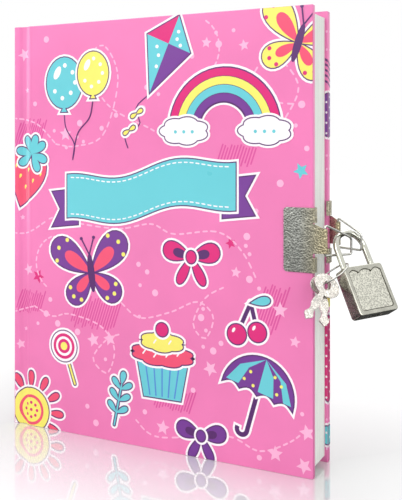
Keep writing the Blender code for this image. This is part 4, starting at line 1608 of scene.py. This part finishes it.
@dataclass
class PanelShadeRing:
    """A dark ring of painted shade in the corner round the padlock's sunk panel."""

    place: Matrix
    y: float
    finish: bpy.types.Material
    half: float = 8.3
    foot: float = -28.15
    shoulder: float = -12.85
    corner: float = 1.4
    lobe: float = 2.3
    dip: float = 0.16
    side_lobe: float = 0.6
    width: float = 0.34
    film: float = 0.03

    def outline(self) -> Outline:
        """Work out the panel's outline: three lobes above and two round corners below.

        Returns:
            The outline in millimetres.
        """
        middle, height = self.half - self.corner, self.foot + self.corner
        corners = ((-middle, height), 180), ((middle, height), 270)
        points = [polar(at, self.corner, turn + 18 * index) for at, turn in corners for index in range(6)]
        inner = self.half * (1 - self.side_lobe)
        joins = (self.half, inner, -inner, -self.half)
        for near, far in zip(joins, joins[1:]):
            for share in [index / 10 for index in range(11)]:
                rise = math.sin(math.pi * (self.dip + (1 - 2 * self.dip) * share))
                points.append((near + (far - near) * share, self.shoulder + self.lobe * rise))
        return points

    def build(self) -> None:
        """Draw the line as a thin ring and tie it to the case."""
        rim = self.outline()
        name, count = "padlock_panel_painted_shade", len(rim)
        # Painted shade: a thin dark ring just inside the panel's wall.
        item = start(name, bpy.ops.mesh.primitive_circle_add, vertices=count, radius=MM)
        edit_all()
        bpy.ops.mesh.extrude_edges_move()
        shape = bmesh.from_edit_mesh(item.data)
        for vert, (x, z) in zip(shape.verts, rim + grow(rim, -self.width)):
            vert.co = (x * MM, self.y, z * MM)
        bmesh.update_edit_mesh(item.data)
        bpy.ops.mesh.select_all(action="SELECT")
        bpy.ops.mesh.extrude_region_move(TRANSFORM_OT_translate={"value": (0.0, -self.film * MM, 0.0)})
        bpy.ops.mesh.select_all(action="SELECT")
        bpy.ops.mesh.normals_make_consistent(inside=False)
        bpy.ops.object.mode_set(mode="OBJECT")
        item.data.transform(self.place)
        dress(item, self.finish)
        settle(item, "padlock_case", "lock_steel")


@dataclass
class PaperParts:
    """The case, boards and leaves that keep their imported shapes."""

    nodes: dict
    finishes: Finishes

    def build(self) -> None:
        """Give each node the finish of the first part of a name that it has."""
        own = self.finishes
        table = {"_wrap": own.ground, "_board": own.board, "spine_lining": own.lining}
        table |= dict.fromkeys(("pastedown", "flyleaf"), own.plain)
        table |= dict.fromkeys(("signature", "leaf_", "stub"), own.ruled)
        for name, node in self.nodes.items():
            finish = next((finish for part, finish in table.items() if part in name), None)
            if finish:
                dress(node, finish)
                LOG.info("%s is dressed", name)


@dataclass
class Studio:
    """A white glossy floor, soft light and the camera."""

    book: Book
    view_deg: float = 26.5
    across: float = -47.06 * MM
    away: float = 341.2 * MM
    eye_height: float = 142.0 * MM
    lens: float = 58.46
    sensor: float = 36.0
    nearest: float = 0.01
    shift: float = -0.216
    lamp_aim: float = 0.1
    mirror_roughness: float = 0.04
    floor_size: float = 6.0
    floor_shine: float = 0.82
    mirror_reach: float = 0.085
    floor_shade: float = 0.3
    near: float = 0.12
    far: float = 0.42
    glow: float = 1.12
    fill: float = 0.34

    def camera(self) -> None:
        """Set up the camera where the photograph was taken from."""
        turn = math.radians(self.view_deg)
        right = Vector((math.cos(turn), math.sin(turn), 0.0))
        ahead = Vector((-math.sin(turn), math.cos(turn), 0.0))
        corner = Vector((self.book.fore_x, self.book.side_y(-1, 0.0), 0.0))
        place = corner + right * self.across - ahead * self.away
        place.z = self.eye_height
        stand = {"location": place, "rotation": (math.pi / 2, 0.0, turn)}
        camera = start("photo_camera", bpy.ops.object.camera_add, **stand)
        camera.data.lens = self.lens
        camera.data.sensor_width = self.sensor
        camera.data.shift_y = self.shift
        camera.data.clip_start = self.nearest
        bpy.context.scene.camera = camera

    def floor(self) -> None:
        """Lay a white floor that mirrors the object faintly, and that glows with painted shade in the
        metal's reflections.
        """
        floor = start("studio_floor", bpy.ops.mesh.primitive_plane_add, size=self.floor_size)
        edit_all()
        bpy.ops.mesh.subdivide(number_cuts=3)
        bpy.ops.object.mode_set(mode="OBJECT")
        graph = Surface("white_floor")
        dress(floor, graph.finish(Base_Color=(0.9, 0.9, 0.9, 1.0), Roughness=0.7))
        length = graph.add("VectorMath", {0: graph.place}, operation="LENGTH").outputs["Value"]
        near = graph.eased(length, 1.0, 0.0, self.near, self.far)
        glow = graph.add("Emission", {"Strength": self.glow}).outputs[0]
        mirror = graph.add("BsdfGlossy", {"Roughness": self.mirror_roughness}).outputs[0]
        x, y, _ = graph.axes()
        beside = graph.minus(graph.maths("ABSOLUTE", x), self.book.width / 2)
        before = graph.maths("ABSOLUTE", graph.minus(y, self.book.middle_y))
        before = graph.minus(before, self.book.thickness / 2)
        off = graph.maths("MAXIMUM", graph.maths("MAXIMUM", beside, before), 0.0)
        fade = graph.minus(1.0, graph.maths("DIVIDE", off, self.mirror_reach))
        fade = graph.maths("MAXIMUM", graph.times(fade, self.floor_shine), 0.0)
        white = graph.shader.outputs[0]
        shaded = graph.mix(graph.times(near, self.floor_shade), graph.mix(fade, glow, mirror), white)
        rays = graph.add("LightPath").outputs
        # Painted shade: in reflections the floor is a glow, dim near the book and brighter far off.
        grey = graph.add("Emission", {"Strength": graph.eased(length, 0.08, 0.85, 0.3, 1.0)}).outputs[0]
        lit = graph.mix(rays["Is Glossy Ray"], white, grey)
        chosen = graph.mix(rays["Is Camera Ray"], lit, shaded)
        graph.feed(graph.tree.nodes["Material Output"], {"Surface": chosen})

    def light(self) -> None:
        """Hang soft lamps and set the world's light."""
        for name, place, size, power in (
            ("key_lamp", (-0.5, -0.9, 0.9), 0.9, 8.0),
            ("fill_lamp", (0.9, -0.6, 0.5), 0.8, 4.8),
            ("top_lamp", (0.1, 0.3, 1.1), 0.9, 4.4),
            ("left_lamp", (-0.95, -0.35, 0.25), 0.5, 2.3),
        ):
            way = Vector((0.0, 0.0, self.lamp_aim)) - Vector(place)
            stand = {"location": place, "rotation": way.to_track_quat("-Z", "Y").to_euler()}
            lamp = start(name, bpy.ops.object.light_add, type="AREA", **stand)
            lamp.data.size = size
            lamp.data.energy = power
        world = bpy.context.scene.world or bpy.data.worlds.new("studio_world")
        bpy.context.scene.world = world
        world.use_nodes = True
        graph = Graph(world.node_tree, "Generated")
        rays = graph.add("LightPath").outputs
        _, y, z = graph.axes()
        above, behind = graph.eased(z, 0.02, 1.0, 0.0, 0.2), graph.eased(y, 0.0, 1.0, 0.76, 0.9)
        lightest = graph.maths("MAXIMUM", above, behind)
        mirrored = graph.add("Mix", {0: rays["Is Glossy Ray"], 2: self.fill, 3: lightest}).outputs[0]
        shown = graph.add("Mix", {0: rays["Is Camera Ray"], 2: mirrored, 3: 1.0}).outputs[0]
        graph.feed(graph.tree.nodes["Background"], {"Color": (1.0, 1.0, 1.0, 1.0), "Strength": shown})

    def build(self) -> None:
        """Set up camera, floor and light."""
        self.camera()
        self.floor()
        self.light()
        bpy.context.scene.view_settings.view_transform = "Standard"
        LOG.info("studio is ready")


def main() -> None:
    """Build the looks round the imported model."""
    logging.basicConfig(level=logging.INFO, format="%(message)s")
    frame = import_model()
    book, lock = Book(), LockPlace()
    Studio(book).build()
    finishes = Finishes(book, lock)
    PaperParts(frame["nodes"], finishes).build()
    Hardware(frame["nodes"], finishes).build()
    PanelShadeRing(lock.matrix(book), lock.panel_y, finishes.seam).build()
    CasePrint(book, finishes).build()
    for side, cover in ((-1, "front"), (1, "back")):
        JointPaper(book, finishes, side, cover).build()


if __name__ == "__main__":
    main()
